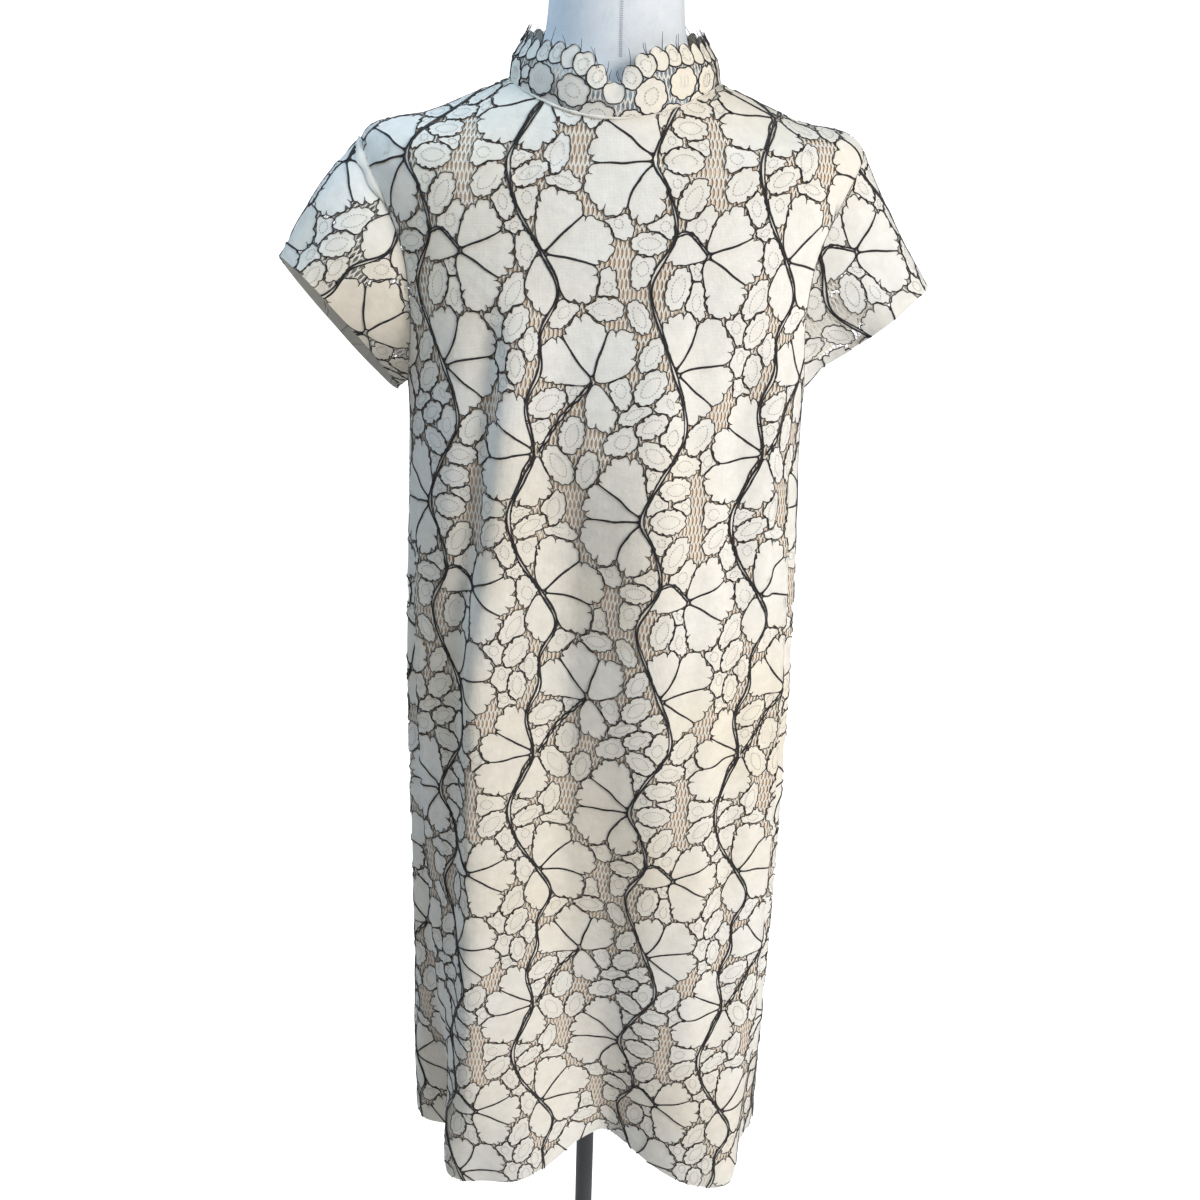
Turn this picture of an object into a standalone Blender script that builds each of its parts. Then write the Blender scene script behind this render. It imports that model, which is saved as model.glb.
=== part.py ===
"""A short-sleeved shift dress of corded lace over a lining, on a limbless dress form.

The dress has a front, two backs with a concealed zip between them, two unlined cap
sleeves, a scalloped stand collar and a lining of three panels. It rests on the
shoulders of a dress form: a padded torso with a neck, on a pole and a round foot.
Metres, +Z up, the front faces -Y. The origin is the middle of the foot's underside.
Left and right are the wearer's, so left is at +X.
"""
import math

import bpy
import bmesh
import numpy as np
from mathutils import Matrix

# ---------------------------------------------------------------- driving dimensions
LACE_WALL = 0.0012          # corded lace with its net ground
LINING_WALL = 0.0010        # satin lining
SEAM_GAP = 0.0003           # between pieces that are sewn or laid together
LINING_SHORTER = 0.005      # the lining's hem hangs this far above the lace hem
FORM_CLEAR = 0.0006         # between the lining and the form's shoulders

SKIRT_ROWS = 8              # rows of faces from the hem to the underarm
ARMHOLE_ROWS = 7            # from the underarm to the shoulder tip
SHOULDER_ROWS = 4           # from the shoulder tip to the neckline
PANEL_COLUMNS = 24          # across the front, and across both backs together
SLEEVE_ROWS = 4
PETALS = 34                 # scallops along the collar's top edge
PETAL_COLUMNS = 4           # columns of faces in one scallop
COLLAR_ROWS = 3

# Rings of the cloth's outer face, from the hem up to the neckline.
# side_z, front_z, back_z, half_width, front_depth, back_depth, squareness
CLOTH_RINGS = (
    (0.482, 0.482, 0.482, 0.173, 0.140, 0.126, 2.6),
    (0.630, 0.630, 0.630, 0.172, 0.134, 0.122, 2.6),
    (0.780, 0.780, 0.780, 0.170, 0.127, 0.118, 2.6),
    (0.930, 0.930, 0.930, 0.167, 0.120, 0.112, 2.6),
    (1.080, 1.080, 1.080, 0.162, 0.114, 0.106, 2.5),
    (1.213, 1.222, 1.222, 0.157, 0.106, 0.102, 2.5),
    (1.310, 1.305, 1.315, 0.170, 0.096, 0.102, 2.4),
    (1.394, 1.365, 1.383, 0.187, 0.086, 0.088, 2.2),
    (1.415, 1.389, 1.413, 0.132, 0.080, 0.076, 2.1),
    (1.437, 1.412, 1.441, 0.078, 0.074, 0.066, 2.0),
)
HEM, UNDERARM, SHOULDER_TIP, NECKLINE = 0, 5, 7, 9      # rows of the table above

# Troughs that the skirt hangs in. The angle is 0 at the front and 90 at the left side.
# angle_deg, depth_at_hem, spread_deg, start_z, hem_lift
FOLDS = (
    (6, 0.060, 16, 1.06, 0.022),
    (-60, 0.030, 10, 1.10, 0.006),
    (-38, -0.006, 12, 0.95, -0.006),
    (40, -0.012, 13, 0.95, -0.008),
    (64, 0.008, 12, 0.95, 0.004),
    (-28, 0.007, 8, 1.25, 0.000),
    (34, 0.006, 7, 1.20, 0.000),
    (104, 0.014, 15, 0.95, 0.003),
    (150, 0.030, 16, 1.05, 0.008),
    (-160, 0.026, 15, 1.00, 0.008),
    (-112, 0.016, 14, 1.00, 0.004),
)
FOLD_CURVE = 1.4            # how slowly a trough deepens from its start to the hem
LIFT_CURVE = 4              # and how late it lifts the hem
ARMHOLE_CUT = 31            # degrees by which each armhole edge cuts into a half ring

# Hem rings of the sleeves: the middle, the half axis to the top, how far the front of
# the ring rises over its back, and the crown of the cap over a straight line.
# name, side, middle_x, middle_z, top_x, top_z, front_rise, crown
SLEEVES = (
    ("sleeve_left", 1, 0.2055, 1.263, 0.0375, 0.035, 0.012, -0.002),
    ("sleeve_right", -1, 0.2110, 1.253, 0.0400, 0.047, 0.033, 0.006),
)
SLEEVE_HALF_DEPTH = 0.064   # half of the hem ring from front to back
SLEEVE_TOP_FORWARD = 0.008  # the ring's top stands forward of its middle
CROWN_BELOW = 0.1           # share of the crown that is left at the underarm
CROWN_PEAK = 0.8            # under 1, the crown peaks nearer the armhole than the hem

COLLAR_TOP_WIDTH = 0.0665   # half width of the ring that the top edge follows
COLLAR_TOP_FRONT = 0.0700   # and its depths
COLLAR_TOP_BACK = 0.0600
COLLAR_FRONT_Z = 1.460      # height of the petals' tips in front, beside the notch
COLLAR_BACK_Z = 1.478       # and behind
COLLAR_SCALLOP = 0.0035     # depth of the dips between them
NOTCH_DEPTH = 0.025         # the top edge dips in a V at the centre front
NOTCH_SPREAD = 11.5         # degrees from its middle
NOTCH_CURVE = 1.2           # 1 is a straight V, 2 a round one
COLLAR_SWELL = 0.003        # how far the collar stands out at half height
COLLAR_CLIMB = 3            # how late the tips climb from the front to the back
PETAL_ROUNDNESS = 0.7       # under 1, the petals are broad and the dips narrow

# Rings of the dress form below the shoulders, from its underside up.
# side_z, front_z, back_z, half_width, front_depth, back_depth, squareness
FORM_BODY_RINGS = (
    (0.800, 0.800, 0.800, 0.136, 0.084, 0.088, 2.2),
    (0.880, 0.880, 0.880, 0.146, 0.090, 0.096, 2.2),
    (0.960, 0.960, 0.960, 0.137, 0.086, 0.092, 2.2),
    (1.050, 1.050, 1.050, 0.116, 0.080, 0.078, 2.1),
    (1.130, 1.130, 1.130, 0.126, 0.086, 0.080, 2.2),
    (1.210, 1.210, 1.210, 0.139, 0.097, 0.086, 2.3),
    (1.280, 1.275, 1.285, 0.147, 0.088, 0.090, 2.3),
    (1.345, 1.330, 1.345, 0.162, 0.077, 0.085, 2.2),
)
FORM_BODY_ROWS = 10
FORM_NECK_ROWS = 5
FORM_SHOULDER_PLACES = (7.5, 8.0, 8.5, 9.0)             # rows of CLOTH_RINGS that it follows
FORM_NECK_RINGS = (
    (1.446, 1.430, 1.449, 0.0630, 0.0600, 0.0540, 2.0),
    (1.456, 1.447, 1.459, 0.0545, 0.0535, 0.0500, 2.0),
    (1.476, 1.472, 1.478, 0.0500, 0.0500, 0.0470, 2.0),
    (1.505, 1.505, 1.505, 0.0480, 0.0480, 0.0460, 2.0),
    (1.540, 1.540, 1.540, 0.0475, 0.0475, 0.0455, 2.0),
)
NECK_CAP_RADIUS = 0.0455
NECK_CAP_THICKNESS = 0.008
NECK_CAP_BEVEL = 0.003
POLE_RADIUS = 0.0090
FOOT_RADIUS = 0.180
FOOT_THICKNESS = 0.006
FOOT_BEVEL = 0.0015
SOCKET_RADIUS = 0.016
SOCKET_HEIGHT = 0.050
SOCKET_BEVEL = 0.003
ROUND_SIDES = 48

ZIP_BELOW_TOP = 0.014       # the slider's middle below the collar's top edge
SLIDER_SIZE = (0.0060, 0.0022, 0.0100)                  # across, off the cloth, up
SLIDER_BEVEL = 0.0005
EAR_SIZE = (0.0012, 0.0034, 0.0034)
EAR_SPACING = 0.0044        # between the middles of the two ears
JOINED = 0.0004             # how deep the ears and the pin reach into what they join
PIN_RADIUS = 0.0006
PIN_OFF = 0.0041            # the pin's middle off the slider's underside
EYE_OUTER = 0.0016
EYE_INNER = 0.0009
EYE_WIDTH = 0.0024
PULL_THICKNESS = 0.0012
# The pull tab hangs from its eye; z is below the pin's middle.
# z, width
PULL_OUTLINE = (
    (-0.0012, 0.0022),
    (-0.0080, 0.0040),
    (-0.0175, 0.0056),
    (-0.0220, 0.0030),
)


# ---------------------------------------------------------------- smooth tables and rings
def between_rows(table, place):
    """Every column's value at a place among the rows, on one smooth curve."""
    last = len(table) - 1
    low = min(int(place), last - 1)
    part = place - low
    before, first, second, after = (
        np.array(table[min(max(low + step, 0), last)]) for step in (-1, 0, 1, 2))
    slope = second - before
    bend = 2 * before - 5 * first + 4 * second - after
    twist = 3 * (first - second) + after - before
    return first + 0.5 * part * (slope + part * (bend + part * twist))


def ring_point(ring, angle):
    """A point of one ring; the angle runs from the front towards the wearer's left."""
    side_z, front_z, back_z, half_width, front_depth, back_depth, squareness = ring
    across, forward = math.sin(angle), math.cos(angle)
    power = 2 / squareness
    depth, middle_z = (front_depth, front_z) if forward > 0 else (back_depth, back_z)
    return np.array((
        math.copysign(half_width * abs(across) ** power, across),
        -math.copysign(depth * abs(forward) ** power, forward),
        middle_z + (side_z - middle_z) * across ** 2,
    ))


def cloth_point(angle, place):
    """A point of the dress's outer face, with the skirt's folds."""
    point = ring_point(between_rows(CLOTH_RINGS, place), angle)
    hem_z = CLOTH_RINGS[HEM][0]
    for angle_deg, depth, spread_deg, start_z, hem_lift in FOLDS:
        if point[2] >= start_z:
            continue
        away = (math.degrees(angle) - angle_deg + 180) % 360 - 180
        share = math.exp(-(away / spread_deg) ** 2)
        fallen = (start_z - point[2]) / (start_z - hem_z)
        level = point[:2] / np.linalg.norm(point[:2])
        point[:2] -= level * depth * share * fallen ** FOLD_CURVE
        point[2] += hem_lift * share * fallen ** LIFT_CURVE
    return point


def cloth_normal(angle, place):
    """The direction out of the dress at the same point."""
    step = 0.004
    along = cloth_point(angle + step, place) - cloth_point(angle - step, place)
    low, high = max(place - step, HEM), min(place + step, NECKLINE)
    up = cloth_point(angle, high) - cloth_point(angle, low)
    out = np.cross(along, up)
    return out / np.linalg.norm(out)


def unit(vector):
    return vector / np.linalg.norm(vector)


# ---------------------------------------------------------------- objects and walls
def clear_scene():
    for item in list(bpy.data.objects):
        bpy.data.objects.remove(item, do_unlink=True)


def finish(name):
    """A colour, a roughness and a metallic value by the name of the stuff."""
    colour, roughness, metallic = {
        "ivory_lace": ((0.80, 0.77, 0.70), 0.75, 0.0),
        "beige_satin": ((0.66, 0.53, 0.40), 0.45, 0.0),
        "form_linen": ((0.66, 0.69, 0.72), 0.90, 0.0),
        "grey_metal": ((0.10, 0.10, 0.11), 0.40, 0.9),
        "form_wood": ((0.45, 0.30, 0.17), 0.45, 0.0),
        "zip_metal": ((0.75, 0.72, 0.66), 0.30, 1.0),
    }[name]
    material = bpy.data.materials.get(name) or bpy.data.materials.new(name)
    material.use_nodes = True
    shader = material.node_tree.nodes["Principled BSDF"]
    shader.inputs["Base Color"].default_value = (*colour, 1)
    shader.inputs["Roughness"].default_value = roughness
    shader.inputs["Metallic"].default_value = metallic
    return material


def new_object(name, mesh, stuff, smooth=True):
    piece = bpy.data.objects.new(name, mesh)
    bpy.context.scene.collection.objects.link(piece)
    mesh.materials.append(finish(stuff))
    if smooth:
        mesh.shade_smooth()
        mesh.set_sharp_from_angle(angle=math.radians(50))
    return piece


def wall(name, outer, inner, stuff):
    """Close an outer and an inner grid of points into one wall, in triangles.

    Rows run up and columns run anticlockwise from above, so the outer faces look out.
    Both grids are cut along the same diagonals, so a wall that lies on another keeps
    its distance all over.
    """
    rows, columns = outer.shape[:2]
    count = rows * columns
    number = np.arange(count).reshape(rows, columns)
    faces = []
    for row in range(rows - 1):
        for column in range(columns - 1):
            a, b = int(number[row, column]), int(number[row, column + 1])
            d, c = int(number[row + 1, column]), int(number[row + 1, column + 1])
            faces += [(a, b, c), (a, c, d)]
            faces += [(c + count, b + count, a + count), (d + count, c + count, a + count)]
    border = (list(number[0, :]) + list(number[1:, -1])
              + list(number[-1, -2::-1]) + list(number[-2:0:-1, 0]))
    for first, second in zip(border, border[1:] + border[:1]):
        first, second = int(first), int(second)
        faces += [(second, first, first + count), (second, first + count, second + count)]
    mesh = bpy.data.meshes.new(name)
    points = np.concatenate([outer.reshape(-1, 3), inner.reshape(-1, 3)])
    mesh.from_pydata(points.tolist(), [], faces)
    return new_object(name, mesh, stuff)


def turned(name, rings, stuff):
    """Close a stack of closed rings of points into one body with flat ends."""
    body = bmesh.new()
    loops = [[body.verts.new(point) for point in ring] for ring in rings]
    for lower, upper in zip(loops, loops[1:]):
        for index in range(len(lower)):
            after = (index + 1) % len(lower)
            body.faces.new((lower[index], lower[after], upper[after], upper[index]))
    body.faces.new(loops[0][::-1])
    body.faces.new(loops[-1])
    mesh = bpy.data.meshes.new(name)
    body.to_mesh(mesh)
    body.free()
    return new_object(name, mesh, stuff)


# ---------------------------------------------------------------- body panels
def panel_places():
    """Places in CLOTH_RINGS of a panel's rows, from the hem to the neckline."""
    skirt = np.linspace(HEM, UNDERARM, SKIRT_ROWS + 1)[:-1]
    turn = np.linspace(0, math.pi, ARMHOLE_ROWS + 1)
    armhole = UNDERARM + (SHOULDER_TIP - UNDERARM) * (1 - np.cos(turn)) / 2
    shoulder = np.linspace(SHOULDER_TIP, NECKLINE, SHOULDER_ROWS + 1)[1:]
    return [*skirt, *armhole, *shoulder]


def half_ring(place):
    """Half of the angle that a panel covers at a place: less beside the armhole."""
    if not UNDERARM < place < SHOULDER_TIP:
        return math.pi / 2
    share = (place - UNDERARM) / (SHOULDER_TIP - UNDERARM)
    return math.pi / 2 - math.radians(ARMHOLE_CUT) * math.sqrt(4 * share * (1 - share))


def panel_grids(first, last, middle):
    """Points and outward directions of a panel, between two shares of its half ring.

    The shares run from -1 to 1; the middle is 0 for the front and pi for the back.
    """
    columns = round(PANEL_COLUMNS * (last - first) / 2)
    points, outs = [], []
    for place in panel_places():
        reach = half_ring(place)
        angles = [middle + reach * share for share in np.linspace(first, last, columns + 1)]
        points.append([cloth_point(angle, place) for angle in angles])
        outs.append([cloth_normal(angle, place) for angle in angles])
    return np.array(points), np.array(outs)


def pull_back(points):
    """Draw a panel's side edges in by half a seam gap."""
    drawn = points.copy()
    for edge, inside in ((0, 1), (-1, -2)):
        for row in range(len(points)):
            inward = unit(points[row, inside] - points[row, edge])
            drawn[row, edge] += inward * SEAM_GAP / 2
    return drawn


def shorten_hem(points, amount):
    """Move a panel's lowest row up along the panel."""
    shorter = points.copy()
    step = points[1] - points[0]
    length = np.linalg.norm(step, axis=1, keepdims=True)
    shorter[0] += step / length * amount
    return shorter


def make_panel(name, first, last, middle):
    """One lace panel and the lining panel that it lies on."""
    points, outs = panel_grids(first, last, middle)
    points = pull_back(points)
    wall(name, points, points - outs * LACE_WALL, "ivory_lace")
    face = points - outs * (LACE_WALL + SEAM_GAP)
    back = face - outs * LINING_WALL
    wall(name.replace("dress", "lining"), shorten_hem(face, LINING_SHORTER),
         shorten_hem(back, LINING_SHORTER), "beige_satin")


def make_body():
    make_panel("dress_front", -1, 1, 0)
    make_panel("dress_back_left", -1, 0, math.pi)
    make_panel("dress_back_right", 0, 1, math.pi)


# ---------------------------------------------------------------- sleeves
def armhole_loop():
    """Points, outward directions and turns round the left armhole.

    The turn is 0 at the shoulder tip, a quarter in front and half at the underarm.
    """
    places = [place for place in panel_places() if UNDERARM <= place <= SHOULDER_TIP]
    front = [(half_ring(place), place) for place in reversed(places)]
    back = [(math.pi - half_ring(place), place) for place in places[1:-1]]
    loop = front + back
    points = np.array([cloth_point(*spot) for spot in loop])
    outs = np.array([cloth_normal(*spot) for spot in loop])
    turns = np.linspace(0, 2 * math.pi, len(loop), endpoint=False)
    return points, outs, turns


def make_sleeve(name, side, middle_x, middle_z, top_x, top_z, front_rise, crown):
    """A cap sleeve, from just off the armhole edge to its own hem ring."""
    edge, edge_out, turns = armhole_loop()
    along = np.roll(edge, -1, axis=0) - np.roll(edge, 1, axis=0)
    away = np.cross(edge_out, along)
    away /= np.linalg.norm(away, axis=1, keepdims=True)
    start = edge + away * SEAM_GAP
    middle = np.array((middle_x, 0, middle_z))
    to_top = np.array((top_x, -SLEEVE_TOP_FORWARD, top_z))
    to_front = np.array((0, -SLEEVE_HALF_DEPTH, front_rise))
    cosines, sines = np.cos(turns)[:, None], np.sin(turns)[:, None]
    hem = middle + to_top * cosines + to_front * sines
    outward = unit(to_top) * cosines + unit(to_front) * sines
    rows = []
    above = CROWN_BELOW + (1 - CROWN_BELOW) * (1 + cosines) / 2
    for share in np.linspace(0, 1, SLEEVE_ROWS + 1):
        rise = math.sin(math.pi * share ** CROWN_PEAK) * above
        rows.append(start + (hem - start) * share + outward * crown * rise)
    points = np.array(rows)
    across = np.roll(points, -1, axis=1) - np.roll(points, 1, axis=1)
    outs = np.cross(across, np.gradient(points, axis=0))
    outs /= np.linalg.norm(outs, axis=2, keepdims=True)
    outs[0] = edge_out
    inner = points - outs * LACE_WALL
    if side < 0:
        points, inner = points[:, ::-1] * (-1, 1, 1), inner[:, ::-1] * (-1, 1, 1)
    tube(name, points, inner, "ivory_lace")


def tube(name, outer, inner, stuff):
    """Close an outer and an inner grid that both run all the way round into a wall."""
    rows, columns = outer.shape[:2]
    body = bmesh.new()
    out, ins = ([[body.verts.new(point) for point in row] for row in grid]
                for grid in (outer, inner))
    for column in range(columns):
        after = (column + 1) % columns
        for row in range(rows - 1):
            body.faces.new((out[row][column], out[row][after],
                            out[row + 1][after], out[row + 1][column]))
            body.faces.new((ins[row][after], ins[row][column],
                            ins[row + 1][column], ins[row + 1][after]))
        body.faces.new((out[0][after], out[0][column], ins[0][column], ins[0][after]))
        body.faces.new((out[-1][column], out[-1][after], ins[-1][after], ins[-1][column]))
    mesh = bpy.data.meshes.new(name)
    body.to_mesh(mesh)
    body.free()
    return new_object(name, mesh, stuff)


# ---------------------------------------------------------------- collar
def collar_top(angle):
    """A point of the scalloped top edge."""
    turn = abs(angle)
    climb = math.sin(turn / 2) ** COLLAR_CLIMB
    notch = NOTCH_DEPTH * math.exp(-(math.degrees(turn) / NOTCH_SPREAD) ** NOTCH_CURVE)
    tips = COLLAR_FRONT_Z + (COLLAR_BACK_Z - COLLAR_FRONT_Z) * climb - notch
    dip = COLLAR_SCALLOP * (1 - abs(math.sin(PETALS * turn / 2)) ** PETAL_ROUNDNESS)
    beside_zip = min(1.0, (math.pi - turn) * PETALS / (2 * math.pi))
    height = tips - dip * beside_zip
    ring = (height, height, height, COLLAR_TOP_WIDTH, COLLAR_TOP_FRONT, COLLAR_TOP_BACK, 2.0)
    return ring_point(ring, angle)


def collar_point(angle, share):
    """A point of the collar's outer face, from its seam, 0, to its top edge, 1."""
    seam = cloth_point(angle, NECKLINE)
    rising = unit(seam - cloth_point(angle, NECKLINE - 0.05))
    foot = seam + rising * SEAM_GAP
    swell = np.array((math.sin(angle), -math.cos(angle), 0)) * COLLAR_SWELL
    return foot + (collar_top(angle) - foot) * share + swell * math.sin(math.pi * share)


def collar_normal(angle, share):
    """The direction out of the collar; along its seam it is the panels' own."""
    if share == 0:
        return cloth_normal(angle, NECKLINE)
    step = 0.01
    around = np.array((math.cos(angle), math.sin(angle), 0))
    low, high = share - step, min(share + step, 1)
    return unit(np.cross(around, collar_point(angle, high) - collar_point(angle, low)))


def make_collar():
    end = math.pi - SEAM_GAP / 2 / COLLAR_TOP_BACK
    angles = np.linspace(-end, end, PETALS * PETAL_COLUMNS + 1)
    shares = np.linspace(0, 1, COLLAR_ROWS + 1)
    points = np.array([[collar_point(angle, share) for angle in angles] for share in shares])
    outs = np.array([[collar_normal(angle, share) for angle in angles] for share in shares])
    wall("collar", points, points - outs * LACE_WALL, "ivory_lace")


# ---------------------------------------------------------------- zip slider and its pull
def zip_frame():
    """Place and turn of the slider: local -Y is off the cloth and local Z runs up it."""
    share = 1 - ZIP_BELOW_TOP / (COLLAR_BACK_Z - CLOTH_RINGS[NECKLINE][2])
    spot = collar_point(math.pi, share)
    off = collar_normal(math.pi, share)
    spot = spot + off * SEAM_GAP
    up = np.cross((-1, 0, 0), -off)
    columns = Matrix(np.array(((-1, 0, 0), -off, up)).T.tolist()).to_4x4()
    return Matrix.Translation(spot.tolist()) @ columns


def block(size, middle):
    """A plain block as a bmesh."""
    body = bmesh.new()
    bmesh.ops.create_cube(body, size=1)
    bmesh.ops.scale(body, vec=size, verts=body.verts)
    bmesh.ops.translate(body, vec=middle, verts=body.verts)
    return body


def rod(radius, length, middle, sides=12):
    """A round rod along X as a bmesh."""
    body = bmesh.new()
    bmesh.ops.create_cone(body, cap_ends=True, segments=sides, radius1=radius,
                          radius2=radius, depth=length)
    bmesh.ops.rotate(body, matrix=Matrix.Rotation(math.pi / 2, 3, "Y"), verts=body.verts)
    bmesh.ops.translate(body, vec=middle, verts=body.verts)
    return body


def from_bmesh(name, body, stuff, place):
    mesh = bpy.data.meshes.new(name)
    body.to_mesh(mesh)
    body.free()
    piece = new_object(name, mesh, stuff)
    piece.matrix_world = place
    return piece


def combine(piece, other_body, operation):
    """Join a shape to a piece, or cut it out, with a Boolean that is applied."""
    other = from_bmesh("other", other_body, "zip_metal", piece.matrix_world)
    modifier = piece.modifiers.new(operation, "BOOLEAN")
    modifier.operation = operation
    modifier.object = other
    modifier.solver = "EXACT"
    depsgraph = bpy.context.evaluated_depsgraph_get()
    joined = bpy.data.meshes.new_from_object(piece.evaluated_get(depsgraph))
    piece.modifiers.clear()
    piece.data = joined
    bpy.data.objects.remove(other, do_unlink=True)


def make_slider(place):
    """The slider's body with two ears and the pin between them."""
    thick = SLIDER_SIZE[1]
    body = block(SLIDER_SIZE, (0, -thick / 2, 0))
    bmesh.ops.bevel(body, geom=body.edges, offset=SLIDER_BEVEL, segments=1, profile=0.5,
                    affect="EDGES", material=-1)
    slider = from_bmesh("zip_slider", body, "zip_metal", place)
    ear_width, ear_depth, _ = EAR_SIZE
    ear_y = JOINED - thick - ear_depth / 2
    for side in (-1, 1):
        combine(slider, block(EAR_SIZE, (side * EAR_SPACING / 2, ear_y, 0)), "UNION")
    pin_length = EAR_SPACING - ear_width + 2 * JOINED
    combine(slider, rod(PIN_RADIUS, pin_length, (0, -PIN_OFF, 0)), "UNION")


def make_pull(place):
    """The pull tab with its eye; its origin is the middle of the pin."""
    tab = bmesh.new()
    half = PULL_THICKNESS / 2
    loops = []
    for z, width in PULL_OUTLINE:
        corners = ((-width / 2, -half), (width / 2, -half), (width / 2, half), (-width / 2, half))
        loops.append([tab.verts.new((x, y, z)) for x, y in corners])
    for upper, lower in zip(loops, loops[1:]):
        for index in range(4):
            after = (index + 1) % 4
            tab.faces.new((lower[index], lower[after], upper[after], upper[index]))
    tab.faces.new(loops[0])
    tab.faces.new(loops[-1][::-1])
    pull = from_bmesh("zip_pull", tab, "zip_metal", place)
    combine(pull, rod(EYE_OUTER, EYE_WIDTH, (0, 0, 0)), "UNION")
    combine(pull, rod(EYE_INNER, EYE_WIDTH * 2, (0, 0, 0)), "DIFFERENCE")


def make_zip():
    place = zip_frame()
    make_slider(place)
    make_pull(place @ Matrix.Translation((0, -PIN_OFF, 0)))


# ---------------------------------------------------------------- dress form
def form_angles():
    """The panels' own columns, so the form lies under the lining facet for facet."""
    shares = np.linspace(-1, 1, PANEL_COLUMNS + 1)[:-1]
    front = [math.pi / 2 * share for share in shares]
    return front + [math.pi + angle for angle in front]


def make_form():
    """Torso and neck in one padded piece, under the lining at the shoulders."""
    angles = form_angles()
    rings = []
    for place in np.linspace(0, len(FORM_BODY_RINGS) - 1, FORM_BODY_ROWS + 1):
        ring = between_rows(FORM_BODY_RINGS, place)
        rings.append([ring_point(ring, angle) for angle in angles])
    depth = LACE_WALL + SEAM_GAP + LINING_WALL + FORM_CLEAR
    for place in FORM_SHOULDER_PLACES:
        rings.append([cloth_point(angle, place) - cloth_normal(angle, place) * depth
                      for angle in angles])
    for place in np.linspace(0, len(FORM_NECK_RINGS) - 1, FORM_NECK_ROWS + 1):
        ring = between_rows(FORM_NECK_RINGS, place)
        rings.append([ring_point(ring, angle) for angle in angles])
    turned("form_torso", rings, "form_linen")


def disc_rings(profile, sides=ROUND_SIDES):
    """Rings of a turned piece, from its radii and heights, lowest first."""
    turns = np.linspace(0, 2 * math.pi, sides, endpoint=False)
    return [[(radius * math.sin(turn), -radius * math.cos(turn), height) for turn in turns]
            for radius, height in profile]


def make_stand():
    """The neck's cap, the pole under the torso and the foot with its socket."""
    cap_low = FORM_NECK_RINGS[-1][0] + SEAM_GAP
    cap_high = cap_low + NECK_CAP_THICKNESS
    turned("form_neck_cap", disc_rings((
        (NECK_CAP_RADIUS, cap_low),
        (NECK_CAP_RADIUS, cap_high - NECK_CAP_BEVEL),
        (NECK_CAP_RADIUS - NECK_CAP_BEVEL, cap_high),
    )), "form_wood")
    socket_top = FOOT_THICKNESS + SOCKET_HEIGHT
    turned("form_pole", disc_rings((
        (POLE_RADIUS, socket_top + SEAM_GAP),
        (POLE_RADIUS, FORM_BODY_RINGS[0][0] - SEAM_GAP),
    ), sides=24), "grey_metal")
    turned("form_foot", disc_rings((
        (FOOT_RADIUS, 0.0),
        (FOOT_RADIUS, FOOT_THICKNESS - FOOT_BEVEL),
        (FOOT_RADIUS - FOOT_BEVEL, FOOT_THICKNESS),
        (SOCKET_RADIUS, FOOT_THICKNESS),
        (SOCKET_RADIUS, socket_top - SOCKET_BEVEL),
        (SOCKET_RADIUS - SOCKET_BEVEL, socket_top),
    )), "grey_metal")


clear_scene()
make_body()
for sleeve in SLEEVES:
    make_sleeve(*sleeve)
make_collar()
make_zip()
make_form()
make_stand()
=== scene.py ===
"""A shift dress of corded lace over a lining, on a limbless dress form.

The sections follow the making: the form, the lining, the lace and how it is cut and laid,
the sleeves, the collar and the zip. Metres, +Z up, the front faces -Y, and left is the
wearer's left, at +X.
"""

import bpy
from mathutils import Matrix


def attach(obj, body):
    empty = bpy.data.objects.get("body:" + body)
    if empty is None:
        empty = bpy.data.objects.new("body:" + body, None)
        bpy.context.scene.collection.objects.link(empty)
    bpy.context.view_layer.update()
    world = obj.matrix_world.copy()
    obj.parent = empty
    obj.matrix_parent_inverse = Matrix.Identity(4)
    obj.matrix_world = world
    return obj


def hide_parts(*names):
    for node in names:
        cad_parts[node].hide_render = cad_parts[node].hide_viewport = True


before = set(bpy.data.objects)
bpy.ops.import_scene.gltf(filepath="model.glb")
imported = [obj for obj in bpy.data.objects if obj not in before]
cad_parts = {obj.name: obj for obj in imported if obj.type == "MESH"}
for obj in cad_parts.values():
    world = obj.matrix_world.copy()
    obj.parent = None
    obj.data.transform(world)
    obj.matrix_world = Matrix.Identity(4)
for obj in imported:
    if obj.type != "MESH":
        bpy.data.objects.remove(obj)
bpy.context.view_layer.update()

import math

import bmesh
import bpy
import numpy as np
from mathutils import Matrix, Vector
from mathutils.bvhtree import BVHTree
from mathutils.geometry import barycentric_transform

# ---------------------------------------------------------------- foot plate and pole
# A round steel plate with a welded socket, and a steel tube that stands in it.
# Both are powder coated in one dark satin grey.
BODY = "dressed_form"
MOTTLE_SCALE = 0.03             # against the grain's scale


def feed(node, inputs):
    """Give a shader node's inputs their values, or the sockets that drive them."""
    for name, value in inputs.items():
        if isinstance(value, bpy.types.NodeSocket):
            node.id_data.links.new(value, node.inputs[name])
        else:
            node.inputs[name].default_value = value


def add_node(tree, kind, inputs=(), **settings):
    """A new shader node with its settings and inputs."""
    node = tree.nodes.new(f"ShaderNode{kind}")
    for name, value in settings.items():
        setattr(node, name, value)
    feed(node, dict(inputs))
    return node


def mixed_colour(tree, first, second, factor, **settings):
    """The mix of two colours."""
    inputs = {"A": first, "B": second, "Factor": factor}
    return add_node(tree, "Mix", inputs, data_type="RGBA", **settings).outputs["Result"]


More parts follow.
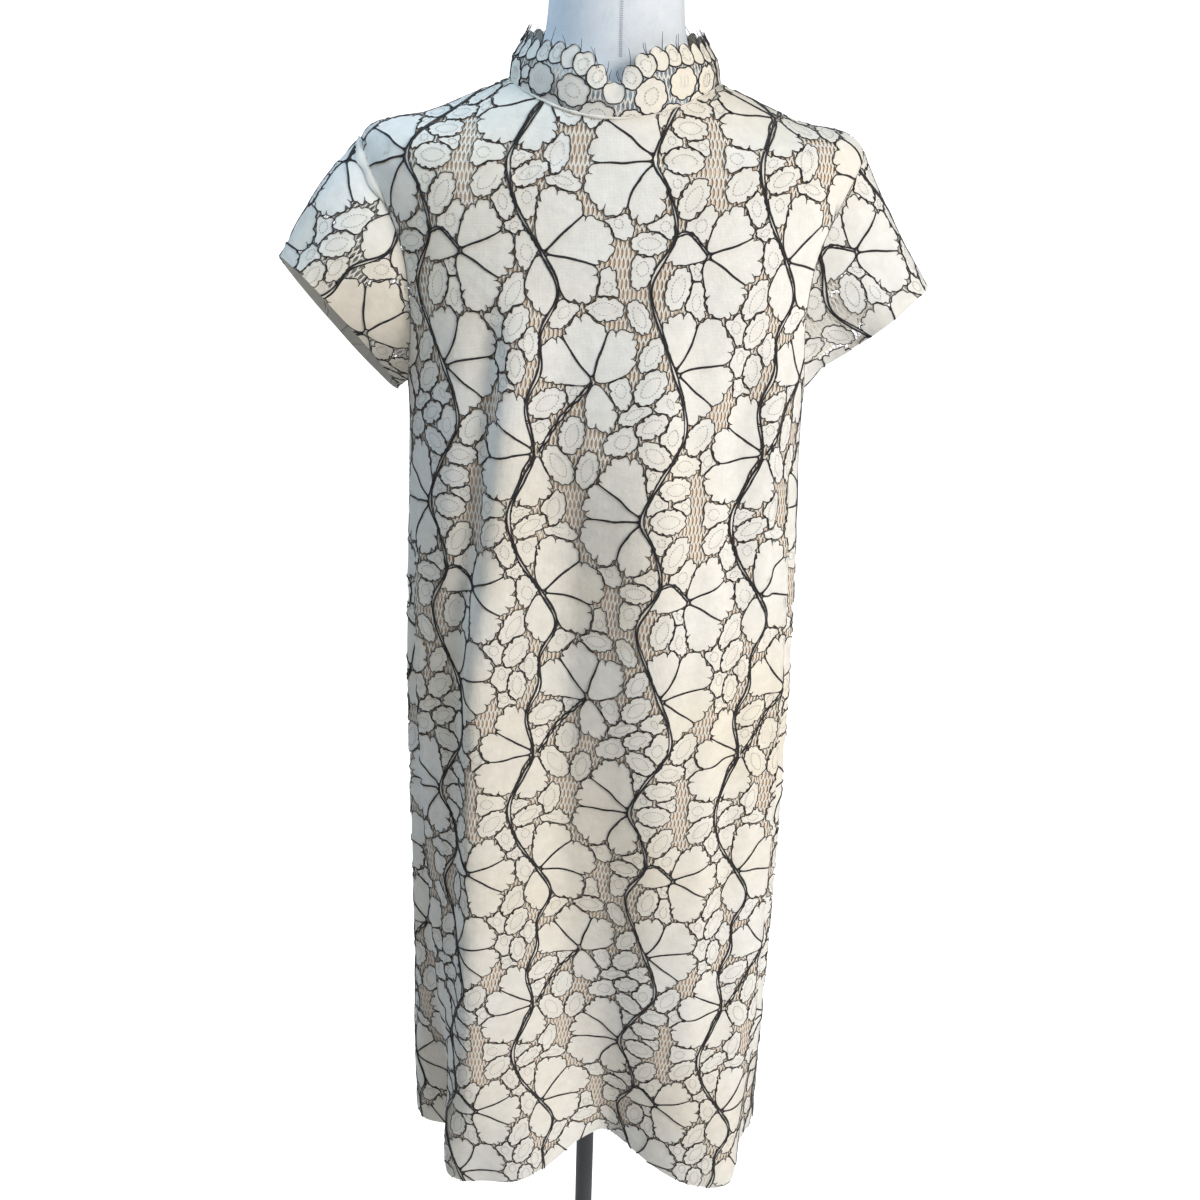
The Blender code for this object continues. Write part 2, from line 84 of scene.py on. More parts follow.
def new_group(name, takes, gives):
    """An empty group of nodes, what comes into it and its end."""
    group = bpy.data.node_groups.new(name, "ShaderNodeTree")
    for sockets, way in ((takes, "INPUT"), (gives, "OUTPUT")):
        for socket in sockets:
            kind = "NodeSocketVector" if socket == "Vector" else "NodeSocketFloat"
            group.interface.new_socket(socket, in_out=way, socket_type=kind)
    return group, group.nodes.new("NodeGroupInput").outputs, group.nodes.new("NodeGroupOutput")


def new_material(name, colour, roughness, metallic=0.0):
    """A material, its node tree and its one Principled shader."""
    material = bpy.data.materials.new(name)
    material.use_nodes = True
    shader = material.node_tree.nodes["Principled BSDF"]
    feed(shader, {"Base Color": (*colour, 1), "Roughness": roughness, "Metallic": metallic})
    return material, material.node_tree, shader


def fine_grain_group():
    """Mottling and a fine grain on Object coordinates, for coated and brushed metal."""
    group, start, end = new_group("fine grain", ("Scale",), ("Mottle", "Grain"))
    place = add_node(group, "TexCoord").outputs["Object"]
    for output, times in (("Mottle", MOTTLE_SCALE), ("Grain", 1.0)):
        scale = add_node(group, "Math", {0: start["Scale"], 1: times}, operation="MULTIPLY")
        noise = add_node(group, "TexNoise", {"Vector": place, "Scale": scale.outputs[0],
                                             "Detail": 4})
        feed(end, {output: noise.outputs["Fac"]})
    return group


FINE_GRAIN = fine_grain_group()


def grainy(name, dark, light, roughness, metallic, scale, bump):
    """A hard finish whose colour and roughness wander, with a fine grain."""
    material, tree, shader = new_material(name, light, roughness, metallic)
    grain = add_node(tree, "Group", {"Scale": scale}, node_tree=FINE_GRAIN).outputs
    rough = add_node(tree, "MapRange", {"Value": grain["Mottle"], "To Min": roughness * 0.8,
                                        "To Max": min(roughness * 1.25, 1)})
    relief = add_node(tree, "Bump", {"Height": grain["Grain"], "Strength": 0.4,
                                     "Distance": bump})
    feed(shader, {"Base Color": mixed_colour(tree, (*dark, 1), (*light, 1), grain["Mottle"]),
                  "Roughness": rough.outputs["Result"], "Normal": relief.outputs["Normal"]})
    return material


def dress_node(node, material):
    """Give a part of the frame its finish."""
    mesh = bpy.data.objects[node].data
    mesh.materials.clear()
    mesh.materials.append(material)


COATED_STEEL = grainy("grey coated steel", (0.035, 0.035, 0.040), (0.060, 0.060, 0.066), 0.42,
                      0.0, 900, 0.0001)
for node in ("form_foot", "form_pole"):
    dress_node(node, COATED_STEEL)

# ---------------------------------------------------------------- torso, neck and cap
# A padded torso and neck covered in pale linen, sewn in panels: the front seam runs up the
# neck a little to the left, because the form is turned. A turned wooden cap closes the neck.
NECK_CAP_WOOD = grainy("varnished beech", (0.30, 0.17, 0.08), (0.48, 0.31, 0.17), 0.38, 0.0,
                       160, 0.00015)
dress_node("form_neck_cap", NECK_CAP_WOOD)

# side_z, front_z, back_z, half_width, front_depth, back_depth, squareness
CLOTH_RINGS = (
    (0.482, 0.482, 0.482, 0.173, 0.140, 0.126, 2.6),
    (0.630, 0.630, 0.630, 0.172, 0.134, 0.122, 2.6),
    (0.780, 0.780, 0.780, 0.170, 0.127, 0.118, 2.6),
    (0.930, 0.930, 0.930, 0.167, 0.120, 0.112, 2.6),
    (1.080, 1.080, 1.080, 0.162, 0.114, 0.106, 2.5),
    (1.213, 1.222, 1.222, 0.157, 0.106, 0.102, 2.5),
    (1.310, 1.305, 1.315, 0.170, 0.096, 0.102, 2.4),
    (1.394, 1.365, 1.383, 0.187, 0.086, 0.088, 2.2),
    (1.415, 1.389, 1.413, 0.132, 0.080, 0.076, 2.1),
    (1.437, 1.412, 1.441, 0.078, 0.074, 0.066, 2.0),
)
HEM, UNDERARM, SHOULDER_TIP, NECKLINE = 0, 5, 7, 9
FORM_BODY_RINGS = (
    (0.800, 0.800, 0.800, 0.136, 0.084, 0.088, 2.2),
    (0.880, 0.880, 0.880, 0.146, 0.090, 0.096, 2.2),
    (0.960, 0.960, 0.960, 0.137, 0.086, 0.092, 2.2),
    (1.050, 1.050, 1.050, 0.116, 0.080, 0.078, 2.1),
    (1.130, 1.130, 1.130, 0.126, 0.086, 0.080, 2.2),
    (1.210, 1.210, 1.210, 0.139, 0.097, 0.086, 2.3),
    (1.280, 1.275, 1.285, 0.147, 0.088, 0.090, 2.3),
    (1.345, 1.330, 1.345, 0.162, 0.077, 0.085, 2.2),
)
FORM_NECK_RINGS = (
    (1.446, 1.430, 1.449, 0.0630, 0.0600, 0.0540, 2.0),
    (1.456, 1.447, 1.459, 0.0545, 0.0535, 0.0500, 2.0),
    (1.476, 1.472, 1.478, 0.0500, 0.0500, 0.0470, 2.0),
    (1.505, 1.505, 1.505, 0.0480, 0.0480, 0.0460, 2.0),
    (1.538, 1.538, 1.538, 0.0475, 0.0475, 0.0455, 2.0),
    (1.540, 1.540, 1.540, 0.0460, 0.0460, 0.0440, 2.0),
)
FORM_UNDER_CLOTH = 0.0034       # the form's shoulders lie this far under the lace's face


def on_curve(table, place):
    """Every column of a table at places among its rows, on one smooth curve."""
    table, place = np.asarray(table, float), np.asarray(place, float)
    last = len(table) - 1
    low = np.clip(np.floor(place).astype(int), 0, last - 1)
    part = (place - low)[..., None]
    before, first, second, after = (
        table[np.clip(low + step, 0, last)] for step in (-1, 0, 1, 2))
    bend = 2 * before - 5 * first + 4 * second - after
    twist = 3 * (first - second) + after - before
    return first + 0.5 * part * (second - before + part * (bend + part * twist))


def ring_points(table, angle, place):
    """Points of a table's rings; the angle runs from the front to the wearer's left."""
    side_z, front_z, back_z, half_width, front_depth, back_depth, squareness = (
        np.moveaxis(on_curve(table, place), -1, 0))
    across, forward = np.sin(angle), np.cos(angle)
    ahead = forward > 0
    power = 2 / squareness
    middle_z = np.where(ahead, front_z, back_z)
    depth = np.where(ahead, front_depth, back_depth)
    return np.stack((half_width * np.sign(across) * np.abs(across) ** power,
                     -depth * np.sign(forward) * np.abs(forward) ** power,
                     middle_z + (side_z - middle_z) * across ** 2), axis=-1)


# angle_deg, depth_at_hem, spread_deg, start_z, hem_lift
FOLDS = (
    (6, 0.060, 16, 1.06, 0.022),
    (-60, 0.030, 10, 1.10, 0.006),
    (-38, -0.006, 12, 0.95, -0.006),
    (40, -0.012, 13, 0.95, -0.008),
    (64, 0.008, 12, 0.95, 0.004),
    (-28, 0.007, 8, 1.25, 0.000),
    (34, 0.006, 7, 1.20, 0.000),
    (104, 0.014, 15, 0.95, 0.003),
    (150, 0.030, 16, 1.05, 0.008),
    (-160, 0.026, 15, 1.00, 0.008),
    (-112, 0.016, 14, 1.00, 0.004),
)
FOLD_CURVE = 1.4
LIFT_CURVE = 4
# Soft creases, as troughs between two spots of the cloth; a ridge has a negative depth.
# from_angle_deg, from_z, to_angle_deg, to_z, width, depth
CREASES = (
    (-6, 1.320, -9, 1.080, 0.024, 0.0060),
    (-7, 1.190, -11, 0.490, 0.027, 0.0185),
    (8, 1.300, 11, 0.490, 0.023, -0.0145),
    (-12, 1.200, -15, 0.500, 0.014, -0.0040),
    (-17, 1.310, -27, 1.000, 0.015, -0.0075),
    (-28, 1.090, -30, 0.490, 0.018, -0.0110),
    (-26, 1.300, -41, 1.020, 0.013, 0.0065),
    (-41, 1.110, -46, 0.500, 0.019, 0.0090),
    (37, 1.270, 33, 1.060, 0.012, 0.0050),
    (50, 1.280, 46, 1.020, 0.013, -0.0055),
    (27, 1.180, 24, 0.560, 0.014, -0.0040),
    (38, 1.020, 40, 0.560, 0.015, 0.0055),
    (60, 1.180, 56, 0.520, 0.015, -0.0060),
    (-62, 1.150, -60, 0.560, 0.014, -0.0050),
    (4, 1.200, 2, 0.900, 0.009, -0.0022),
    (20, 1.330, 17, 1.120, 0.010, 0.0030),
    (0, 1.395, -34, 1.370, 0.010, 0.0020),
    (0, 1.392, 36, 1.372, 0.010, 0.0020),
    (-84, 1.150, -80, 0.560, 0.014, 0.0040),
    (84, 1.120, 82, 0.600, 0.013, 0.0045),
    (55, 1.150, 52, 0.800, 0.007, 0.0025),
    (66, 1.220, 63, 0.540, 0.007, 0.0040),
    (73, 1.170, 71, 0.500, 0.006, -0.0030),
    (79, 1.120, 77, 0.520, 0.007, 0.0040),
    (-52, 1.060, -54, 0.520, 0.006, 0.0025),
    (-66, 1.180, -63, 0.500, 0.007, 0.0040),
    (-73, 1.150, -70, 0.560, 0.006, -0.0030),
    (-79, 1.100, -78, 0.540, 0.007, 0.0035),
    (172, 1.340, 168, 0.840, 0.018, 0.0060),
    (-170, 1.200, -172, 0.640, 0.016, 0.0050),
    (142, 1.300, 134, 0.900, 0.016, 0.0060),
    (-138, 1.310, -146, 0.860, 0.017, 0.0065),
    (120, 1.180, 126, 0.600, 0.014, -0.0045),
    (-122, 1.160, -118, 0.560, 0.015, 0.0050),
)
CREASE_TAPER = 0.18             # share of a crease's length over which each end fades


def degrees_off(degrees, middle):
    """The shortest way round from a middle angle to others."""
    return (degrees - middle + 180) % 360 - 180


def from_axis(points):
    """Distances from the upright axis, and the level directions away from it."""
    radius = np.linalg.norm(points[..., :2], axis=-1)
    return radius, points[..., :2] / radius[..., None]


def unit(vectors):
    """The same directions with length 1."""
    return vectors / np.linalg.norm(vectors, axis=-1, keepdims=True)


def cloth(angle, place):
    """Points of the lace's outer face, with the skirt's folds and the soft creases."""
    angle, place = np.broadcast_arrays(np.asarray(angle, float), np.asarray(place, float))
    points = ring_points(CLOTH_RINGS, angle, place)
    degrees = np.degrees(angle)
    hem_z = CLOTH_RINGS[HEM][0]
    for angle_deg, depth, spread, start_z, hem_lift in FOLDS:
        share = np.exp(-(degrees_off(degrees, angle_deg) / spread) ** 2)
        fallen = np.maximum(start_z - points[..., 2], 0) / (start_z - hem_z)
        level = from_axis(points)[1]
        points[..., :2] -= level * (depth * share * fallen ** FOLD_CURVE)[..., None]
        points[..., 2] += hem_lift * share * fallen ** LIFT_CURVE
    height = points[..., 2].copy()
    radius, level = from_axis(points)
    sunk = np.zeros_like(height)
    for from_deg, from_z, to_deg, to_z, width, depth in CREASES:
        along = np.clip((height - from_z) / (to_z - from_z), 0, 1)
        middle = from_deg + (to_deg - from_deg) * along
        away = np.radians(degrees_off(degrees, middle)) * radius
        beyond = height - (from_z + (to_z - from_z) * along)
        fade = np.clip(np.minimum(along, 1 - along) / CREASE_TAPER, 0, 1)
        fade = fade * fade * (3 - 2 * fade)
        sunk += depth * fade * np.exp(-(away / width) ** 2 - (beyond / width) ** 2)
    points[..., :2] -= level * sunk[..., None]
    return points


def cloth_out(angle, place):
    """Directions out of the cloth at the same points."""
    step = 0.004
    along = cloth(angle + step, place) - cloth(angle - step, place)
    low, high = np.maximum(place - step, HEM), np.minimum(place + step, NECKLINE)
    return unit(np.cross(along, cloth(angle, high) - cloth(angle, low)))


def grid_body(points, closed=False):
    """A smooth bmesh whose vertices are a grid of points, rows up, columns anticlockwise.

    A closed grid's last column is welded to its first.
    """
    rows, columns = points.shape[:2]
    body = bmesh.new()
    bmesh.ops.create_grid(body, x_segments=columns - 1, y_segments=rows - 1, size=0.5,
                          calc_uvs=False)
    for vert, point in zip(body.verts, points.reshape(-1, 3).tolist()):
        vert.co = point
    if closed:
        bmesh.ops.remove_doubles(body, verts=body.verts, dist=1e-6)
    for face in body.faces:
        face.smooth = True
    return body


def as_mesh(name, body):
    """Close a bmesh into a mesh."""
    mesh = bpy.data.meshes.new(name)
    body.to_mesh(mesh)
    body.free()
    return mesh


def new_object(name, data):
    """A new object in the scene."""
    item = bpy.data.objects.new(name, data)
    bpy.context.scene.collection.objects.link(item)
    return item


def new_piece(name, shape, *materials):
    """A mesh or bmesh as a piece that rides on the dressed form."""
    mesh = as_mesh(name, shape) if isinstance(shape, bmesh.types.BMesh) else shape
    piece = new_object(name, mesh)
    for material in materials:
        mesh.materials.append(material)
    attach(piece, BODY)
    return piece


SLUB_SCALE, CRINKLE_SCALE, BLOTCH_SCALE = 60, 150, 90
CLOUD_SCALE, CLOUD_FROM, CLOUD_TO, CLOUD_TINT = 6, 0.42, 0.68, (1.0, 0.90, 0.74)


def weave_group():
    """Two sets of threads that cross, on the piece's UV map or Object coordinates."""
    group, start, end = new_group(
        "weave", ("Vector", "Threads", "Slub", "Thread Share", "Crinkle"), ("Height", "Shade"))
    place = start["Vector"]
    warped = add_node(group, "TexNoise", {"Vector": place, "Scale": SLUB_SCALE})
    shift = add_node(group, "VectorMath", {0: warped.outputs["Color"], "Scale": start["Slub"]},
                     operation="SCALE")
    moved = add_node(group, "VectorMath", {0: place, 1: shift.outputs[0]}, operation="ADD")
    bands = {number: add_node(group, "TexWave", {"Vector": moved.outputs[0],
                                                 "Scale": start["Threads"], "Distortion": 0.6,
                                                 "Detail": 1}, bands_direction=way).outputs["Fac"]
             for number, way in enumerate("XY")}
    crossed = add_node(group, "Math", bands, operation="MAXIMUM").outputs[0]
    crinkled = add_node(group, "TexNoise", {"Vector": place, "Scale": CRINKLE_SCALE, "Detail": 4,
                                            "Roughness": 0.65}).outputs["Fac"]
    blotches = add_node(group, "TexNoise", {"Vector": place, "Scale": BLOTCH_SCALE, "Detail": 6,
                                            "Roughness": 0.7}).outputs["Fac"]
    for output, share, first, second in (("Height", "Crinkle", crossed, crinkled),
                                         ("Shade", "Thread Share", blotches, crossed)):
        mix = add_node(group, "Mix", {"A": first, "B": second, "Factor": start[share]})
        feed(end, {output: mix.outputs["Result"]})
    return group


WEAVE = weave_group()


def woven(name, dark, light, roughness, threads, slub, bump, map_name=None, sheen=0.3,
          thread_share=0.3, crinkle=0.0, warmth=0.0):
    """A cloth whose threads show in its colour and its relief, with broad warm clouds."""
    material, tree, shader = new_material(name, light, roughness)
    worn = place = add_node(tree, "TexCoord").outputs["Object"]
    if map_name:
        place = add_node(tree, "UVMap", uv_map=map_name).outputs["UV"]
    weave = add_node(tree, "Group", {"Vector": place, "Threads": threads, "Slub": slub,
                                     "Thread Share": thread_share, "Crinkle": crinkle},
                     node_tree=WEAVE).outputs
    cloud = add_node(tree, "TexNoise", {"Vector": worn, "Scale": CLOUD_SCALE})
    share = add_node(tree, "MapRange", {"Value": cloud.outputs["Fac"], "From Min": CLOUD_FROM,
                                        "From Max": CLOUD_TO, "To Max": warmth})
    relief = add_node(tree, "Bump", {"Height": weave["Height"], "Strength": 0.5,
                                     "Distance": bump})
    tint = mixed_colour(tree, (*dark, 1), (*light, 1), weave["Shade"])
    warm = mixed_colour(tree, tint, (*CLOUD_TINT, 1), share.outputs["Result"],
                        blend_type="MULTIPLY")
    feed(shader, {"Sheen Weight": sheen, "Specular IOR Level": 0.3, "Base Color": warm,
                  "Normal": relief.outputs["Normal"]})
    return material


LINEN = woven("pale linen", (0.60, 0.64, 0.69), (0.84, 0.86, 0.89), 0.9, 560, 0.002, 0.0002,
              thread_share=0.05)
FORM_COLUMNS = 128
BODY_ROWS, SHOULDER_ROWS, NECK_ROWS = 50, 14, 60
SHOULDERS_FROM, SHOULDERS_TO = 7.5, 9   # places of the cloth that the form's shoulders follow
SEAM_ANGLES = (4, 94, 184, 274)       # degrees; the form's panels meet here
SEAM_WIDTH, SEAM_DEPTH = 0.0012, 0.0006


def make_form():
    """Torso and neck in one skin, with a fine groove and ridge at each panel seam."""
    angle = np.linspace(0, 2 * math.pi, FORM_COLUMNS + 1)[None]
    body_rows = np.linspace(0, len(FORM_BODY_RINGS) - 1, BODY_ROWS)[:, None]
    shoulder_rows = np.linspace(SHOULDERS_FROM, SHOULDERS_TO, SHOULDER_ROWS)[:, None]
    neck_rows = np.linspace(0, len(FORM_NECK_RINGS) - 1, NECK_ROWS)[:, None]
    shoulders = (cloth(angle, shoulder_rows)
                 - cloth_out(angle, shoulder_rows) * FORM_UNDER_CLOTH)
    points = np.concatenate([ring_points(FORM_BODY_RINGS, angle, body_rows), shoulders,
                             ring_points(FORM_NECK_RINGS, angle, neck_rows)])
    radius, level = from_axis(points)
    for seam in SEAM_ANGLES:
        away = np.radians(degrees_off(np.degrees(angle), seam)) * radius
        groove = SEAM_DEPTH * np.exp(-(away / SEAM_WIDTH) ** 2)
        points[..., :2] -= level * groove[..., None]
    body = grid_body(points, closed=True)
    bmesh.ops.holes_fill(body, edges=body.edges, sides=0)
    return new_piece("form_skin", body, LINEN)


def make_form_stitches():
    """Whipped stitches over the neck's front and back seams."""
    body = bmesh.new()
    for seam in (SEAM_ANGLES[0], SEAM_ANGLES[2]):
        for place in np.arange(NECK_SEAM_FROM, NECK_SEAM_TO, NECK_STITCH_STEP):
            angle = np.array(math.radians(seam))
            middle, above = (ring_points(FORM_NECK_RINGS, angle, spot)
                             for spot in (place, place + NECK_AHEAD))
            up = Vector((above - middle).tolist()).normalized()
            across = Vector((math.cos(angle), math.sin(angle), 0))
            out = across.cross(up)
            turn = Matrix((across, up, out)).transposed().to_4x4()
            spot = Vector(middle.tolist()) + out * NECK_STITCH_OUT
            bmesh.ops.create_grid(body, x_segments=1, y_segments=1, size=0.5, calc_uvs=False,
                                  matrix=Matrix.Translation(spot) @ turn
                                  @ Matrix.Diagonal((*NECK_STITCH, 1, 1)))
    return new_piece("form_stitches", body, LINEN_THREAD)


NECK_STITCH, NECK_STITCH_STEP, NECK_STITCH_OUT = (0.0022, 0.0005), 0.044, 0.0001
NECK_SEAM_FROM, NECK_SEAM_TO = 1.2, 3.9     # places among the neck's rings
NECK_AHEAD = 0.02                           # to the place that gives a seam's direction
LINEN_THREAD = woven("grey linen thread", (0.30, 0.32, 0.35), (0.44, 0.47, 0.50), 0.9, 900,
                     0.001, 0.0001)
form_skin = make_form()
form_stitches = make_form_stitches()
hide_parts("form_torso")

# ---------------------------------------------------------------- lining
# Beige satin, cut as the dress: a front and two backs, seamed at the sides and closed by
# the zip behind. It hangs just inside the lace and ends a little above its hem.
LINING_WALL, SEAM_GAP = 0.0010, 0.0003
LINING_SHORTER = 0.005
LINING_UNDER = 0.0021           # the satin's face under the lace's
LINING_SHOWN = 0.6              # share of its wall that the satin is drawn with
ARMHOLE_CUT = 31
ARMHOLE_PULL = 0.1              # cloth that is cut away hardly pulls on the flat cut
FIRM_PAST = 0.03                # radians past the armhole's edge that still pull
CROWDING = 0.4                  # how much closer rows stand at the armhole's two ends
PANELS = {                      # first share, last share and middle of its half ring
    "front": (-0.999, 0.999, 0.0),
    "back_left": (-0.999, -0.001, math.pi),
    "back_right": (0.001, 0.999, math.pi),
}
PANEL_ROWS, PANEL_COLUMNS = 120, 96
SATIN = woven("beige satin", (0.68, 0.53, 0.39), (0.78, 0.63, 0.48), 0.5, 640, 0.001, 0.0001,
              sheen=0.2, thread_share=0.15)


def half_ring(place):
    """Half of the angle that a panel covers: less beside the armhole."""
    share = np.clip((place - UNDERARM) / (SHOULDER_TIP - UNDERARM), 0, 1)
    return math.pi / 2 - math.radians(ARMHOLE_CUT) * np.sqrt(4 * share * (1 - share))


def panel_spots(panel, columns):
    """A panel's grid from the hem to the neckline: its angles and places.

    Then the angles of the same rows run on over the armhole, and how firm those spots are.
    Rows stand closer at the armhole's two ends.
    """
    first, last, middle = PANELS[panel]
    share = np.linspace(0, 1, PANEL_ROWS // 3 + 1)
    share = (1 - CROWDING) * share + CROWDING * (1 - np.cos(math.pi * share)) / 2
    place = np.concatenate([
        np.linspace(HEM, UNDERARM, PANEL_ROWS // 2 + 1)[:-1],
        UNDERARM + (SHOULDER_TIP - UNDERARM) * share,
        np.linspace(SHOULDER_TIP, NECKLINE, PANEL_ROWS // 6 + 1)[1:],
    ])[:, None]
    share = np.linspace(first, last, columns + 1)[None]
    half = half_ring(place)
    whole = middle + math.pi / 2 * np.repeat(share, len(place), axis=0)
    firm = np.where(np.abs(whole - middle) < half + FIRM_PAST, 1, ARMHOLE_PULL)
    return middle + half * share, np.broadcast_to(place, whole.shape), whole, firm


def spread(values, rows, columns, shape):
    """Values at some rows and columns of a grid, spread over the whole grid."""
    full = np.empty(shape + (2,))
    for axis in range(2):
        tall = np.stack([np.interp(np.arange(shape[0]), rows, values[:, column, axis])
                         for column in range(len(columns))], axis=1)
        full[..., axis] = np.stack([np.interp(np.arange(shape[1]), columns, row)
                                    for row in tall])
    return full


def flat_cut(points, firm=1, steps=(16, 8, 4, 2), rounds=500, pull=0.24):
    """Lay a grid of points flat so that its edges and diagonals keep their lengths.

    A coarse grid settles first, and each finer one starts from it.
    """
    firm = np.broadcast_to(firm, points.shape[:2])
    across = np.linalg.norm(np.diff(points, axis=1), axis=-1).cumsum(axis=1)
    across = np.pad(across, ((0, 0), (1, 0)))
    middle = points.shape[1] // 2
    flat = np.zeros(points.shape[:2] + (2,))
    flat[..., 0] = across - across[:, middle:middle + 1]
    rises = np.linalg.norm(np.diff(points, axis=0), axis=-1).mean(axis=1).cumsum()
    flat[1:, :, 1] = rises[:, None]
    pairs = (
        (np.s_[:, :-1], np.s_[:, 1:]), (np.s_[:-1, :], np.s_[1:, :]),
        (np.s_[:-1, :-1], np.s_[1:, 1:]), (np.s_[:-1, 1:], np.s_[1:, :-1]),
    )
    for step in steps:
        rows, columns = (np.unique(np.append(np.arange(0, count, step), count - 1))
                         for count in points.shape[:2])
        part = np.ix_(rows, columns)
        coarse, start = points[part], flat[part]
        lengths = [np.linalg.norm(coarse[b] - coarse[a], axis=-1) for a, b in pairs]
        pulls = [pull * np.minimum(firm[part][a], firm[part][b]) for a, b in pairs]
        laid = start.copy()
        for _ in range(rounds):
            for (a, b), wanted, strong in zip(pairs, lengths, pulls):
                way = laid[b] - laid[a]
                has = np.maximum(np.linalg.norm(way, axis=-1), 1e-9)
                move = way * (strong * (has - wanted) / has)[..., None]
                laid[a] += move
                laid[b] -= move
        flat += spread(laid - start, rows, columns, flat.shape[:2])
    return flat


def cut_size(flat):
    """Width, length and area of a flat cut."""
    side, other = flat[1:, 1:] - flat[:-1, :-1], flat[1:, :-1] - flat[:-1, 1:]
    area = np.abs(side[..., 0] * other[..., 1] - side[..., 1] * other[..., 0]).sum() / 2
    width, length = flat.reshape(-1, 2).max(axis=0) - flat.reshape(-1, 2).min(axis=0)
    return (width, length), area


panel_shapes = {}
for panel in PANELS:
    columns = PANEL_COLUMNS if panel == "front" else PANEL_COLUMNS // 2
    angles, places, whole, firm = panel_spots(panel, columns)
    face, outs = cloth(angles, places), cloth_out(angles, places)
    laid = flat_cut(cloth(whole, places), firm)
    flat = np.stack([[np.interp(spots, ring, row[:, axis])
                      for spots, ring, row in zip(angles, whole, laid)] for axis in range(2)],
                    axis=-1)
    panel_shapes[panel] = face, outs, flat
    inside = face - outs * LINING_UNDER
    inside[0] += (unit(inside[1:] - inside[:-1]) * LINING_SHORTER)[0]
    lining = new_piece(f"lining_{panel}_cloth", grid_body(inside[::2]), SATIN)
    wall = lining.modifiers.new("thickness", "SOLIDIFY")
    wall.thickness = LINING_WALL * LINING_SHOWN
    wall.offset = -1
    size, area = cut_size(flat)
    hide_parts(f"lining_{panel}")

# ---------------------------------------------------------------- lace: one repeat, flat
# Ivory cotton leaves on a honeycomb net, edged by a fine black cord. Broad scalloped leaves
# stand in fans on winding stems of two cords, with small oval leaves between them.
REPEAT = np.array((0.178, 0.252))
# Each fan's hub, then its leaves as direction in degrees, length and width in millimetres.
FANS = (
    ((0.050, 0.120), ((118, 50, 29), (163, 47, 27), (212, 54, 30), (258, 44, 25))),
    ((0.070, 0.226), ((84, 42, 26), (38, 50, 29), (-10, 45, 27), (-58, 40, 24))),
    ((0.150, 0.055), ((66, 46, 27), (14, 51, 30), (-36, 47, 28), (-84, 41, 24))),
    ((0.146, 0.166), ((118, 47, 28), (166, 44, 25), (214, 52, 30), (264, 42, 24))),
    ((0.090, 0.056), ((46, 39, 24), (-6, 42, 26), (-62, 46, 25), (168, 38, 22))),
    ((0.010, 0.218), ((52, 44, 26), (100, 47, 28), (150, 45, 25), (-72, 36, 20))),
)
STEMS = (
    ((0.060, 0.000), (0.050, 0.034), (0.066, 0.068), (0.060, 0.098), (0.050, 0.120),
     (0.062, 0.150), (0.080, 0.180), (0.078, 0.206), (0.070, 0.226), (0.060, 0.252)),
    ((0.150, 0.000), (0.162, 0.028), (0.150, 0.055), (0.132, 0.086), (0.126, 0.118),
     (0.138, 0.146), (0.146, 0.166), (0.140, 0.200), (0.150, 0.226), (0.150, 0.252)),
    ((0.066, 0.068), (0.076, 0.070), (0.090, 0.056)),
    ((-0.028, 0.166), (-0.014, 0.190), (0.010, 0.218)),
)
STEM_WIDTH = 0.0017             # between its two cords
# Tall open places of bare net: middle, half width and half height.
POCKETS = (
    (0.094, 0.128, 0.005, 0.018), (0.014, 0.186, 0.005, 0.012), (0.112, 0.036, 0.005, 0.012),
    (0.030, 0.044, 0.005, 0.016), (0.112, 0.214, 0.005, 0.014), (0.174, 0.122, 0.005, 0.016),
)
LEAF_GAP = 0.0001
SMALLEST_LEAF = 0.0048          # clear radius that a small leaf needs
FAN_SCALLOP = (0.0080, 0.0022)  # pitch and depth
OVAL_SCALLOP = (0.0066, 0.0014)
SCALLOP_LENGTHS, SCALLOP_DEPTHS = (0.65, 1.35), (0.6, 1.3)      # against pitch and depth
SCALLOP_LEANS = (0.55, 0.8, 1.5)
DEEP, SHALLOW = 1.45, 0.65      # every second scallop is shallow
TOUCHING_PLAIN = 0.6            # share of the scallops' depth lost where two leaves meet
SCALLOP_POINTS = 4
FEWEST_SCALLOPS, SMOOTHINGS = 6, 3      # round a leaf
BARE_RIB = 0.36                 # share of a fan leaf's length from its hub without scallops
FAN_MIDDLE, FAN_WIDE = 0.52, 0.56       # from the hub, and half width, as shares of its size
OVAL_LENGTHS, OVAL_WIDTHS = (0.0135, 0.0175), (0.56, 0.68)      # half length; width over it
OVAL_REACH = 2.4                # longest half length against the free radius
OVAL_TURNS = range(0, 180, 15)
FREE_CELL = 0.001               # grid on which free places are looked for
TIP_WIDER, WAVERS = 0.42, (0.06, 0.04)  # a fan leaf's shape
TIP_SHIFT, TIP_MOST = 0.1, 0.7
FAN_STEPS, OVAL_STEPS = np.linspace(0.02, 1.2, 60), np.linspace(0.05, 1, 28)    # outwards
ROUNDINGS, JUT = 12, 1.008      # how often and how tightly a small leaf's bumps are drawn in
RIB_FADE, SCALLOP_ROUND = 0.15, 0.55
TURNS = 120
turns = np.linspace(0, 2 * math.pi, TURNS, endpoint=False)
rays = np.stack((np.cos(turns), np.sin(turns)), axis=-1)
chance = np.random.default_rng(7)


def heading(degrees):
    """The flat direction at an angle from the X axis."""
    return np.array((math.cos(math.radians(degrees)), math.sin(math.radians(degrees))))


def left_of(way):
    """Flat directions turned a quarter to the left."""
    return np.stack((-way[..., 1], way[..., 0]), axis=-1)


def way_along(line):
    """Length along a line at each of its points."""
    return np.append(0, np.linalg.norm(np.diff(line, axis=0), axis=1).cumsum())


